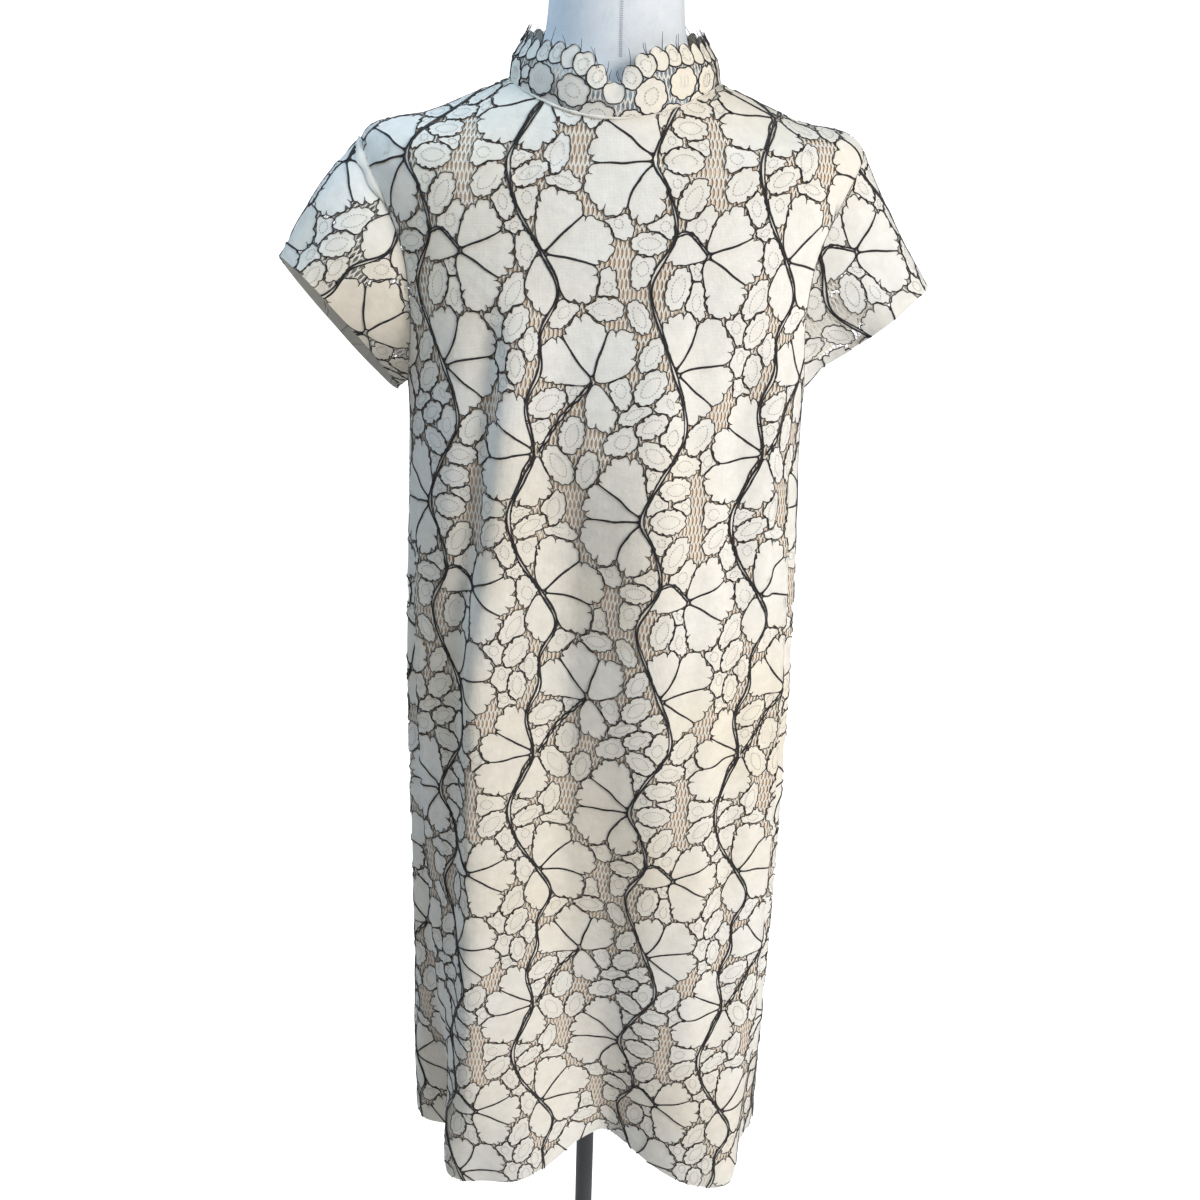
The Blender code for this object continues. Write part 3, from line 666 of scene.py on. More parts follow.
def at_way(spots, way, line):
    """Points of a line at some lengths along it."""
    return np.stack([np.interp(spots, way, column) for column in line.T], axis=-1)


def nearest_copy(offset):
    """The shortest way to any copy of a spot in the endless repeat."""
    return offset - REPEAT * np.round(offset / REPEAT)


def smooth_line(points, spacing=0.002, fineness=40):
    """A line of even points through a few, on one smooth curve.

    A line that crosses the whole repeat runs on smoothly into its next copy.
    """
    points = np.array(points)
    first, last = 0, len(points) - 1
    if np.allclose(points[-1] - points[0], (0, REPEAT[1])):
        rise = np.array((0, REPEAT[1]))
        points = np.vstack([points[-2] - rise, points, points[1] + rise])
        first, last = 1, last + 1
    fine = on_curve(points, np.linspace(first, last, fineness * len(points)))
    way = way_along(fine)
    return at_way(np.linspace(0, way[-1], max(3, round(way[-1] / spacing))), way, fine)


stem_lines = [smooth_line(stem) for stem in STEMS]


def off_stems(points):
    """Distance from the nearest stem."""
    best = np.full(points.shape[:-1], 1.0)
    for spot in np.concatenate(stem_lines):
        best = np.minimum(best, np.linalg.norm(nearest_copy(points - spot), axis=-1))
    return best


def in_leaf(points, leaf):
    """How far the points lie inside a leaf, and below zero outside it."""
    offset = nearest_copy(points - leaf["middle"])
    turn = np.arctan2(offset[..., 1], offset[..., 0])
    edge = np.interp(turn, turns, leaf["reach"], period=2 * math.pi)
    return edge - np.linalg.norm(offset, axis=-1)


def make_fan_leaves():
    """Broad leaves that meet along straight lines from their hub."""
    blanks = []
    for number, (hub, parts) in enumerate(FANS):
        for degrees, length, width in parts:
            way = heading(degrees)
            length, width = length / 1000, width / 1000
            blanks.append((number, np.array(hub) + way * length * FAN_MIDDLE, way, length / 2,
                           width * FAN_WIDE, chance.uniform(0, 6)))

    def size_in(points, blank):
        """1 on a leaf's own oval, which is wider at its tip than at its hub."""
        _, middle, way, half_length, half_width, phase = blank
        offset = nearest_copy(points - middle)
        along, side = offset @ way / half_length, offset @ left_of(way)
        turn = np.arctan2(side / half_width, along)
        wavy = (1 + WAVERS[0] * np.sin(3 * turn + phase)
                + WAVERS[1] * np.sin(5 * turn + 2 * phase))
        wide = half_width * (1 + TIP_WIDER * np.clip(along + TIP_SHIFT, -1, TIP_MOST))
        return np.hypot(along, side / wide) / wavy

    leaves = []
    for blank in blanks:
        number, middle, way, half_length = blank[:4]
        steps = FAN_STEPS * half_length
        spots = middle + rays[:, None] * steps[None, :, None]
        own = size_in(spots, blank)
        sister, other = np.full(own.shape, np.inf), np.full(own.shape, np.inf)
        for neighbour in blanks:
            if neighbour is blank:
                continue
            theirs = size_in(spots, neighbour)
            if neighbour[0] == number:
                sister = np.minimum(sister, theirs)
            else:
                other = np.minimum(other, theirs)
        by_sister = own > sister
        by_stem = off_stems(spots) < STEM_WIDTH / 2 + LEAF_GAP
        blocked = (own > 1) | by_sister | (own > other) | by_stem
        blocked[:, -1] = True
        first = blocked.argmax(axis=1)
        at = np.arange(TURNS), first
        leaves.append({"middle": middle, "reach": steps[np.maximum(first - 1, 0)], "fan": True,
                       "ribbed": by_sister[at] | by_stem[at], "touching": (own > other)[at],
                       "way": way, "half_length": half_length})
    return leaves


def make_small_leaves(fan_leaves):
    """Fill the widest free places between the fans one after another with oval leaves."""
    count = np.round(REPEAT / FREE_CELL).astype(int)
    spots = np.stack(np.meshgrid(*((np.arange(n) + 0.5) * FREE_CELL for n in count),
                                 indexing="ij"), axis=-1)
    free = off_stems(spots) - STEM_WIDTH / 2 - LEAF_GAP / 2
    for leaf in fan_leaves:
        free = np.minimum(free, -in_leaf(spots, leaf))
    for x, y, half_width, half_height in POCKETS:
        offset = nearest_copy(spots - np.array((x, y)))
        share = np.hypot(offset[..., 0] / half_width, offset[..., 1] / half_height)
        free = np.minimum(free, (share - 1) * half_width)
    leaves = []
    while free.max() > SMALLEST_LEAF:
        middle = spots[np.unravel_index(free.argmax(), free.shape)]
        half_length = min(free.max() * OVAL_REACH, chance.uniform(*OVAL_LENGTHS))
        half_width = half_length * chance.uniform(*OVAL_WIDTHS)
        best = {"reach": np.zeros(TURNS)}
        for degrees in OVAL_TURNS:
            turned = turns - math.radians(degrees)
            oval = 1 / np.hypot(np.cos(turned) / half_length, np.sin(turned) / half_width)
            steps = OVAL_STEPS * oval[:, None]
            at = np.floor((middle + rays[:, None] * steps[..., None]) / FREE_CELL).astype(int)
            blocked = free[at[..., 0] % count[0], at[..., 1] % count[1]] < LEAF_GAP
            blocked[:, -1] = True
            first = blocked.argmax(axis=1)
            reach = steps[np.arange(TURNS), np.maximum(first - 1, 0)]
            for _ in range(ROUNDINGS):
                reach = np.minimum(reach, (np.roll(reach, 1) + np.roll(reach, -1)) / 2 * JUT)
            if (reach ** 2).sum() > (best["reach"] ** 2).sum():
                best = {"middle": middle, "reach": reach, "fan": False, "way": heading(degrees),
                        "ribbed": np.zeros(TURNS, bool), "half_length": half_length,
                        "touching": first < steps.shape[1] - 1}
        free = np.minimum(free, -in_leaf(spots, best))
        free[tuple(np.floor(middle / FREE_CELL).astype(int))] = 0
        if best["reach"].mean() > SMALLEST_LEAF:
            leaves.append(best)
    return leaves


def leaf_outline(leaf):
    """A leaf's edge with uneven scallops, and how far each point is scalloped or ribbed."""
    pitch, depth = FAN_SCALLOP if leaf["fan"] else OVAL_SCALLOP
    reach = leaf["reach"]
    for _ in range(SMOOTHINGS):
        reach = (np.roll(reach, 1) + 2 * reach + np.roll(reach, -1)) / 4
    edge = rays * reach[:, None]
    closed = np.vstack([edge, edge[:1]])
    way = way_along(closed)
    scallops = chance.uniform(*SCALLOP_LENGTHS, max(FEWEST_SCALLOPS, round(way[-1] / pitch)))
    starts = np.append(0, scallops.cumsum()) / scallops.sum() * way[-1]
    phase = np.arange(SCALLOP_POINTS) / SCALLOP_POINTS
    along = (starts[:-1, None] + np.diff(starts)[:, None] * phase).ravel()
    deep = np.repeat(chance.uniform(*SCALLOP_DEPTHS, len(scallops)), SCALLOP_POINTS)
    deep *= np.where(np.arange(len(along)) // SCALLOP_POINTS % 2, SHALLOW, DEEP)
    lean = np.repeat(chance.choice(SCALLOP_LEANS, len(scallops)), SCALLOP_POINTS)
    phase = np.tile(phase, len(scallops)) ** lean
    points = at_way(along, way, closed)
    ribbed, touching = (np.interp(along, way, np.append(leaf[key], leaf[key][0]))
                        for key in ("ribbed", "touching"))
    ribbed = (np.roll(ribbed, 1) + ribbed + np.roll(ribbed, -1)) / 3
    scalloped = (1 - ribbed) * (1 - TOUCHING_PLAIN * touching)
    if leaf["fan"]:
        from_hub = (points @ leaf["way"] / leaf["half_length"] + 1) / 2
        scalloped *= np.clip((from_hub - BARE_RIB) / RIB_FADE, 0, 1)
        ribbed *= np.clip(1 + RIB_FADE - from_hub, 0, 1)
    dip = depth * deep * (1 - np.sin(math.pi * phase) ** SCALLOP_ROUND) * scalloped
    far = np.linalg.norm(points, axis=1)
    points *= (1 - dip / far)[:, None]
    return leaf["middle"] + points, scalloped, ribbed


fan_leaves = make_fan_leaves()
small_leaves = make_small_leaves(fan_leaves)
outlines = [leaf_outline(leaf) for leaf in fan_leaves + small_leaves]
LEAF_LEVEL, NET_LEVEL = -0.0005, -0.0010    # under the cloth's face
NET_COLUMNS, NET_ROWS, NET_SLANT = 56, 36, 4
NET_CELL = REPEAT / (NET_COLUMNS, NET_ROWS)
CELL_SIDE = 0.17                            # a net cell's straight side against its pitch
STRAND, STRAND_WELD = 0.00100, 0.0002
HIDDEN_PAST = 0.0004                        # the net runs this far in under a leaf
CUT_X, CUT_Y = 0.008, 0.018                 # the flat leaves are cut this small, to bend
STEM_SWELL, STEM_PINCH = 0.45, 0.25


def flat_leaves(body, shapes):
    """Leaves as flat faces, cut up so that they bend with the cloth."""
    for points in shapes:
        leaf = bmesh.ops.create_circle(body, cap_ends=True, segments=len(points))
        for vert, (x, y) in zip(leaf["verts"], points):
            vert.co = (x, y, LEAF_LEVEL)
    every = np.concatenate(shapes)
    for axis, step in ((0, CUT_X), (1, CUT_Y)):
        for place in np.arange(every[:, axis].min() + step, every[:, axis].max(), step):
            spot, way = [0, 0, 0], [0, 0, 0]
            spot[axis], way[axis] = place, 1
            bmesh.ops.bisect_plane(body, geom=body.verts[:] + body.edges[:] + body.faces[:],
                                   plane_co=spot, plane_no=way)
    bmesh.ops.triangulate(body, faces=body.faces)


def honeycomb(body, columns, rows, hidden, corner=(0, 0)):
    """A net of tall six-sided cells; the cells that are hidden are left out."""
    wide, high = NET_CELL
    net = bmesh.new()
    cell = bmesh.ops.create_circle(net, cap_ends=True, segments=6, radius=1)
    bmesh.ops.scale(net, verts=cell["verts"], vec=(wide / math.sqrt(3), 1, 1))
    for vert in cell["verts"]:
        half = CELL_SIDE if abs(vert.co.x) > wide / 4 else 1 - CELL_SIDE
        vert.co.y = math.copysign(half * high, vert.co.y)
    for count, step in ((columns, lambda number: (number * wide, 0, 0)),
                        (rows, lambda number: (number % 2 * wide / 2, number * high, 0))):
        line = net.faces[:]
        for number in range(1, count):
            made = bmesh.ops.duplicate(net, geom=line)["geom"]
            bmesh.ops.translate(net, vec=step(number), verts=[
                part for part in made if isinstance(part, bmesh.types.BMVert)])
    for vert in net.verts:
        vert.co = (vert.co.x + vert.co.y * NET_SLANT * wide / REPEAT[1], vert.co.y, NET_LEVEL)
    bmesh.ops.remove_doubles(net, verts=net.verts, dist=STRAND_WELD)
    net.verts.index_update()
    covered = hidden(np.array([vert.co[:2] for vert in net.verts]))
    gone = [face for face in net.faces if all(covered[vert.index] for vert in face.verts)]
    bmesh.ops.delete(net, geom=gone, context="FACES")
    cells = bmesh.ops.inset_individual(net, faces=net.faces, thickness=STRAND / 2,
                                       use_even_offset=True)
    rings = set(cells["faces"])
    bmesh.ops.delete(net, geom=[face for face in net.faces if face not in rings],
                     context="FACES_ONLY")
    bmesh.ops.translate(net, vec=(*corner, 0), verts=net.verts)
    mesh = as_mesh("net", net)
    before = len(body.faces)
    body.from_mesh(mesh)
    body.faces.ensure_lookup_table()
    for face in body.faces[before:]:
        face.material_index = 1
    bpy.data.meshes.remove(mesh)


def finished_tile(name, body):
    """Close a flat bmesh into a mesh that faces up."""
    body.normal_update()
    for face in body.faces:
        if face.normal.z < 0:
            face.normal_flip()
    body.loops.layers.uv.new("flat")
    mesh = as_mesh(name, body)
    mesh.shade_smooth()
    return mesh


def under_leaves(points):
    """Which points lie under a leaf or a stem."""
    leaves = [in_leaf(points, leaf) > HIDDEN_PAST for leaf in fan_leaves + small_leaves]
    return np.any(leaves, axis=0) | (off_stems(points) < STEM_WIDTH / 2)


def beside(line, offset):
    """A line moved sideways."""
    return line + left_of(unit(np.gradient(line, axis=0))) * offset[:, None]


def stem_swell(line):
    """How a stem widens and narrows along its length, the same at both its ends."""
    turn = np.linspace(0, 2 * math.pi, len(line))
    return 1 + STEM_SWELL * np.sin(7 * turn) - STEM_PINCH * np.cos(3 * turn)


body = bmesh.new()
stem_edges = [(beside(line, STEM_WIDTH / 2 * stem_swell(line)),
               beside(line, -STEM_WIDTH / 2 * stem_swell(line))) for line in stem_lines]
stem_bands = [np.vstack([one[::3], other[::-3]]) for one, other in stem_edges]
flat_leaves(body, [outline[0] for outline in outlines] + stem_bands)
honeycomb(body, NET_COLUMNS, NET_ROWS, under_leaves)
lace_tile = finished_tile("lace tile", body)

# ---------------------------------------------------------------- lace: black cord and stitches
# A fine black cord is couched along every edge, and doubled along the fans' ribs and the
# stems. Small leaves carry a ring of grey running stitches.
CORD_HALF, CORD_HIGH = 0.00036, 0.00040
RIB_TIMES = 2.0                 # a rib's cord against an edge's
STEM_TIMES, STEM_WAVER = 1.75, 0.45     # a stem's two cords, which thicken by turns
CORD_LEVEL = -0.0003
SPUR_LENGTH = 0.0024
SPUR_LENGTHS, SPUR_LEAN = (0.6, 1.3), 0.3
SPUR_EVERY, SPURS_FROM = 4, 0.6         # dips between them, and how scalloped the edge is
SPUR_TAPER = (1.0, 0.8, 0.35)
STITCH, STITCH_WIDE, STITCH_STEP = 0.0014, 0.00052, 0.0023
STITCH_LEVEL = -0.0003
LENS_LONG, LENS_WIDE = 0.62, 0.5        # a ring of stitches against its leaf
LENS_POINTS = 24


def add_line(curve, points, thick=1, closed=False):
    """Add a line of points to a curve, with its thicknesses."""
    spline = curve.splines.new("POLY")
    spline.points.add(len(points) - 1)
    spline.use_cyclic_u = closed
    spline.points.foreach_set("co", np.column_stack([points, np.ones(len(points))]).ravel())
    spline.points.foreach_set("radius", np.broadcast_to(thick, len(points)).astype(float))


def swept_mesh(name, curve):
    """The mesh of a curve's swept lines."""
    swept = new_object(name, curve)
    mesh = bpy.data.meshes.new_from_object(
        swept.evaluated_get(bpy.context.evaluated_depsgraph_get()))
    bpy.data.objects.remove(swept, do_unlink=True)
    return mesh


def cord_tile(name, lines):
    """Sweep low roofs along flat lines of points, thicknesses and whether they are closed."""
    roof = bpy.data.curves.new("cord profile", "CURVE")
    add_line(roof, ((-CORD_HALF, 0, 0), (0, CORD_HIGH, 0), (CORD_HALF, 0, 0)))
    profile = new_object("cord profile", roof)
    curve = bpy.data.curves.new(name, "CURVE")
    curve.dimensions = "3D"
    curve.twist_mode = "Z_UP"
    curve.bevel_mode = "OBJECT"
    curve.bevel_object = profile
    for points, thick, closed in lines:
        add_line(curve, np.pad(points, ((0, 0), (0, 1)), constant_values=CORD_LEVEL), thick,
                 closed)
    mesh = swept_mesh(name, curve)
    bpy.data.objects.remove(profile, do_unlink=True)
    body = bmesh.new()
    body.from_mesh(mesh)
    for layer in list(body.loops.layers.uv.values()):
        body.loops.layers.uv.remove(layer)
    bpy.data.meshes.remove(mesh)
    return finished_tile(name, body)


def edge_cord(outline):
    """The cord round a leaf, thicker along its plain edges."""
    points, _, ribbed = outline
    return points, 1 + (RIB_TIMES - 1) * ribbed, True


def spurs(leaf, outline):
    """Short thorns of cord that run inwards from some of the dips."""
    points, scalloped, _ = outline
    lines = []
    for start in range(0, len(points), SCALLOP_POINTS * SPUR_EVERY):
        if scalloped[start] < SPURS_FROM:
            continue
        way = leaf["middle"] - points[start]
        way /= np.linalg.norm(way)
        side = left_of(way) * chance.uniform(-SPUR_LEAN, SPUR_LEAN)
        end = points[start] + (way + side) * SPUR_LENGTH * chance.uniform(*SPUR_LENGTHS)
        lines.append((np.array((points[start], (points[start] + end) / 2, end)), SPUR_TAPER,
                      False))
    return lines


def stitch_tile(name, rings):
    """Short flat stitches along closed lines of points."""
    body = bmesh.new()
    for ring in rings:
        closed = np.vstack([ring, ring[:1]])
        way = way_along(closed)
        for at in np.arange(0, way[-1] - STITCH, STITCH_STEP):
            first, last = at_way(at, way, closed), at_way(at + STITCH, way, closed)
            middle, step = (first + last) / 2, last - first
            place = (Matrix.Translation((*middle, STITCH_LEVEL))
                     @ Matrix.Rotation(math.atan2(step[1], step[0]), 4, "Z")
                     @ Matrix.Diagonal((STITCH, STITCH_WIDE, 1, 1)))
            bmesh.ops.create_grid(body, x_segments=1, y_segments=1, size=0.5, matrix=place,
                                  calc_uvs=False)
    return finished_tile(name, body)


cords = [edge_cord(outline) for outline in outlines]
for leaf, outline in zip(fan_leaves, outlines):
    cords += spurs(leaf, outline)
for one, other in stem_edges:
    wide = STEM_TIMES + STEM_WAVER * np.sin(5 * np.linspace(0, 2 * math.pi, len(one)))
    cords += [(one, wide, False), (other, 2 * STEM_TIMES - wide, False)]
cord_tile_mesh = cord_tile("cord tile", cords)


def lens(leaf):
    """The pointed ring of stitches inside a small leaf."""
    turn = np.linspace(0, 2 * math.pi, LENS_POINTS, endpoint=False)
    ends_and_sides = (np.arctan2(*leaf["way"][::-1])
                      + np.array((0, math.pi / 2, math.pi, -math.pi / 2)))
    reach = np.interp(ends_and_sides, turns, leaf["reach"], period=2 * math.pi)
    half_length, half_width = reach[::2].min() * LENS_LONG, reach[1::2].min() * LENS_WIDE
    pointed = np.sin(turn) * np.sqrt(np.abs(np.sin(turn)))
    return (leaf["middle"] + np.outer(np.cos(turn), leaf["way"]) * half_length
            + np.outer(pointed, left_of(leaf["way"])) * half_width)


stitch_tile_mesh = stitch_tile("stitch tile", [lens(leaf) for leaf in small_leaves])

# ---------------------------------------------------------------- lace: laid on front and backs
# The lace is cut like the lining and laid on it with the pattern upright. Its pieces meet
# in the side seams and at the zip.
LEAF_COTTON = woven("ivory cotton", (0.56, 0.535, 0.485), (0.99, 0.965, 0.905), 0.85, 330,
                    0.0012, 0.0012, "flat", crinkle=0.9, warmth=0.55)
NET_THREAD = woven("ivory net thread", (0.74, 0.69, 0.60), (0.88, 0.84, 0.76), 0.85, 900, 0.001,
                   0.0002, "flat")
STITCH_THREAD = woven("grey stitches", (0.30, 0.29, 0.28), (0.46, 0.45, 0.43), 0.85, 900, 0.001,
                      0.0001, "flat", sheen=0.1)
BLACK_CORD = woven("black cord", (0.010, 0.009, 0.011), (0.030, 0.027, 0.030), 0.62, 620, 0.002,
                   0.0004, "flat", sheen=0.15)
FACING = woven("ivory facing", (0.74, 0.70, 0.62), (0.86, 0.82, 0.74), 0.8, 560, 0.001, 0.0002)
LAYERS = {                      # by the end of their names: materials and slot
    "": ((LEAF_COTTON, NET_THREAD), "ivory_lace"),
    "_cord": ((BLACK_CORD,), "black_cord"),
    "_cord_inside": ((BLACK_CORD,), "black_cord"),
    "_stitches": ((STITCH_THREAD,), "ivory_lace"),
}
TURNING_UNDER = 0.0013          # seam turnings lie this far under the lace's face
OUT = 0.01
REPEAT_PAST = 0.035             # leaves reach this far out of their repeat


def lay(tile, name, layer, surface, offsets):
    """Copies of a flat tile as a layer of lace, laid on a cloth and cut along its edges."""
    inside = layer == "_cord_inside"
    materials, slot = LAYERS[layer]
    face, outs, flat = surface
    rows, columns = flat.shape[:2]
    number = np.arange(rows * columns).reshape(rows, columns)
    a, b, c, d = number[:-1, :-1], number[:-1, 1:], number[1:, 1:], number[1:, :-1]
    corners = np.concatenate([np.stack((a, b, c), axis=-1).reshape(-1, 3),
                              np.stack((a, c, d), axis=-1).reshape(-1, 3)]).tolist()
    spots = [Vector((x, y, 0)) for x, y in flat.reshape(-1, 2).tolist()]
    low = [Vector(point) for point in face.reshape(-1, 3).tolist()]
    high = [Vector(point) for point in (face + outs * OUT).reshape(-1, 3).tolist()]
    tree = BVHTree.FromPolygons(spots, corners)
    body = bmesh.new()
    for x, y in offsets:
        before = len(body.verts)
        body.from_mesh(tile)
        body.verts.ensure_lookup_table()
        bmesh.ops.translate(body, vec=(x, y, 0), verts=body.verts[before:])
    flat_map = body.loops.layers.uv["flat"]
    for part in body.faces:
        for corner in part.loops:
            corner[flat_map].uv = corner.vert.co.xy
    for vert in body.verts:
        height = vert.co.z
        if inside:
            height = 2 * LEAF_LEVEL - height
        near, _, index, distance = tree.find_nearest(Vector((vert.co.x, vert.co.y, 0)))
        i, j, k = corners[index]
        triangle = near, spots[i], spots[j], spots[k]
        on = barycentric_transform(*triangle, low[i], low[j], low[k])
        over = barycentric_transform(*triangle, high[i], high[j], high[k])
        vert.co = on + (over - on).normalized() * height
        vert.tag = distance > 1e-6
    outside = [part for part in body.faces if all(vert.tag for vert in part.verts)]
    bmesh.ops.delete(body, geom=outside, context="FACES")
    if inside:
        bmesh.ops.reverse_faces(body, faces=body.faces)
    piece = new_piece(name + layer, body, *materials)
    return piece


def repeat_offsets(flat, shift):
    """Where copies of the repeat go to cover a flat cut."""
    low, high = flat.reshape(-1, 2).min(axis=0), flat.reshape(-1, 2).max(axis=0)
    first = np.floor((low - shift - REPEAT_PAST) / REPEAT).astype(int)
    last = np.ceil((high - shift + REPEAT_PAST) / REPEAT).astype(int)
    return [tuple(shift + REPEAT * (i, j))
            for i in range(first[0], last[0]) for j in range(first[1], last[1])]


def make_turnings(name, surface, ends, sides):
    """Edges turned in behind a panel: some rows at its two ends and columns at its sides."""
    face, outs, _ = surface
    rows, columns = face.shape[0] - 1, face.shape[1] - 1
    body = grid_body(face - outs * TURNING_UNDER)
    body.faces.ensure_lookup_table()
    inner = [body.faces[row * columns + column] for row in range(ends[0], rows - ends[1])
             for column in range(sides, columns - sides)]
    bmesh.ops.delete(body, geom=inner, context="FACES")
    turnings = new_piece(name, body, FACING)
    return turnings


def lay_lace(panel, surface, shift, node, turned, seen_inside=False):
    """A panel of lace: leaves and net in one sheet, with its cord, stitches and turnings."""
    name, offsets = f"lace_{panel}", repeat_offsets(surface[2], np.array(shift))
    sheet = lay(lace_tile, name, "", surface, offsets)
    trims = [lay(cord_tile_mesh, name, "_cord", surface, offsets),
             lay(stitch_tile_mesh, name, "_stitches", surface, offsets),
             make_turnings(f"{name}_turnings", surface, *turned)]
    if seen_inside:
        trims.append(lay(cord_tile_mesh, name, "_cord_inside", surface, offsets))
    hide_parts(node)


for panel, shift in (("front", (-0.020, 0.030)), ("back_left", (0.030, 0.110)),
                     ("back_right", (-0.040, 0.110))):
    lay_lace(panel, panel_shapes[panel], shift, f"dress_{panel}", ((2, 2), 2))

# ---------------------------------------------------------------- cap sleeves
# Two cap sleeves of one layer of the same lace, not lined, seamed under the arm and set
# into the armholes. The wearer's right one hangs closer to the body.
# For each: its side, the X and Z of its hem's middle, the X and Z from there to the hem's
# top, how much higher the hem is in front, and how far the cloth over the arm bulges.
SLEEVES = {
    "sleeve_left": (1, 0.2055, 1.263, 0.0375, 0.035, 0.012, -0.002),
    "sleeve_right": (-1, 0.2110, 1.253, 0.0400, 0.047, 0.033, 0.006),
}
SLEEVE_HALF_DEPTH, SLEEVE_TOP_FORWARD = 0.064, 0.008
CROWN_BELOW, CROWN_PEAK = 0.1, 0.8
SLEEVE_ROWS, SLEEVE_COLUMNS = 24, 128
# Soft dents of a sleeve: turn in degrees, depth, spread in degrees.
SLEEVE_FOLDS = {
    "sleeve_left": ((62, 0.0035, 12), (115, 0.004, 14), (250, 0.004, 15), (310, 0.003, 12)),
    "sleeve_right": ((50, 0.0035, 12), (98, 0.0045, 13), (245, 0.004, 14), (300, 0.003, 12)),
}
FOLD_FROM, FOLD_TO, FOLD_WIDE, FOLD_HIGH = 8, 64, 0.0078, 0.0015
FOLD_BEHIND, FOLD_OUT = 0.25, 0.0004    # share of it behind the seam, and how far out it lies
FOLD_ROWS, FOLD_WAVERS = 8, (0.2, 0.3)


def grid_outs(points):
    """Directions out of a grid of points."""
    return unit(np.cross(np.gradient(points, axis=1), np.gradient(points, axis=0)))


def sleeve_surface(name):
    """Points, outward directions and flat cut of a sleeve, from its hem to the armhole."""
    side, middle_x, middle_z, top_x, top_z, front_rise, crown = SLEEVES[name]
    turn = np.linspace(math.pi, 3 * math.pi, SLEEVE_COLUMNS + 1)
    if side > 0:
        turn = turn[::-1]
    place = UNDERARM + (SHOULDER_TIP - UNDERARM) * (1 + np.cos(turn)) / 2
    ahead = np.sin(turn) >= 0
    angle = np.where(ahead, half_ring(place), math.pi - half_ring(place))
    edge = cloth(angle, place)
    cosine, sine = np.cos(turn)[:, None], np.sin(turn)[:, None]
    to_top = np.array((top_x, -SLEEVE_TOP_FORWARD, top_z))
    to_front = np.array((0, -SLEEVE_HALF_DEPTH, front_rise))
    hem = np.array((middle_x, 0, middle_z)) + to_top * cosine + to_front * sine
    outward = (to_top / np.linalg.norm(to_top) * cosine
               + to_front / np.linalg.norm(to_front) * sine)
    above = CROWN_BELOW + (1 - CROWN_BELOW) * (1 + cosine) / 2
    share = np.linspace(1, 0, SLEEVE_ROWS + 1)[:, None, None]
    start = edge + unit(hem - edge) * SEAM_GAP
    points = start + (hem - start) * share
    points += outward * crown * np.sin(math.pi * share ** CROWN_PEAK) * above
    for fold_turn, depth, wide in SLEEVE_FOLDS[name]:
        dent = np.exp(-(degrees_off(np.degrees(turn), fold_turn) / wide) ** 2)[:, None]
        points -= outward * depth * dent * np.sin(math.pi / 2 * share) ** 2
    points[..., 0] *= side
    return points, grid_outs(points), flat_cut(points)


def armhole_fold(surface):
    """A folded ivory edge that has slipped out of the armhole's seam, down from the shoulder."""
    face, outs, _ = surface
    turn = np.linspace(-180, 180, face.shape[1])
    shown = (turn > FOLD_FROM) & (turn < FOLD_TO)
    along = np.linspace(0, 1, shown.sum())[None, :, None]
    across = np.linspace(0, 1, FOLD_ROWS + 1)[:, None, None]
    edge, inner = face[-1, shown][None], face[-2, shown][None]
    wide = (FOLD_WIDE * np.sin(math.pi * along) ** 0.5
            * (1 + FOLD_WAVERS[0] * np.sin(17 * along)))
    bulge = FOLD_HIGH * (1 + FOLD_WAVERS[1] * np.sin(29 * along + 1))
    points = (edge + unit(inner - edge) * wide * (across - FOLD_BEHIND)
              + outs[-1, shown][None] * (FOLD_OUT + bulge * np.sin(math.pi * across)))
    new_piece("armhole_fold", grid_body(points), FACING)


for name, shift in (("sleeve_left", (0.020, 0.020)), ("sleeve_right", (-0.060, 0.060))):
    surface = sleeve_surface(name)
    lay_lace(name, surface, shift, name, ((3, 2), 1), seen_inside=True)
    if name == "sleeve_right":
        armhole_fold(surface)

# ---------------------------------------------------------------- collar
# A stand collar cut from the lace's own scalloped border: a chain of round petals along
# its top edge, small leaves under them and net between, with the neck showing through.
COLLAR_TOP_WIDTH, COLLAR_TOP_FRONT, COLLAR_TOP_BACK = 0.0665, 0.0700, 0.0600
COLLAR_FRONT_Z, COLLAR_BACK_Z = 1.460, 1.478
COLLAR_SCALLOP, COLLAR_SWELL, COLLAR_CLIMB = 0.0035, 0.003, 3
NOTCH_DEPTH, NOTCH_SPREAD, NOTCH_CURVE = 0.025, 11.5, 1.2
PETALS, PETAL_ROUNDNESS = 35, 0.7
COLLAR_ROWS, COLLAR_COLUMNS = 20, PETALS * 10
FRONT_PETAL, SIDE_PETAL, PETAL_CLOSER = 0.0079, 0.0074, 0.12
FRONT_PETALS = 4                        # petals from the centre front that are the larger
PETAL_DOWN, PETAL_TALL, PETAL_LOBES = 0.97, 1.02, (5, 0.03)     # lobes: count and depth
PETAL_RING = (0.0036, 0.0040)           # half width and half height of its stitches
PETAL_POINTS, LOBE_ROUND = 20, 0.6
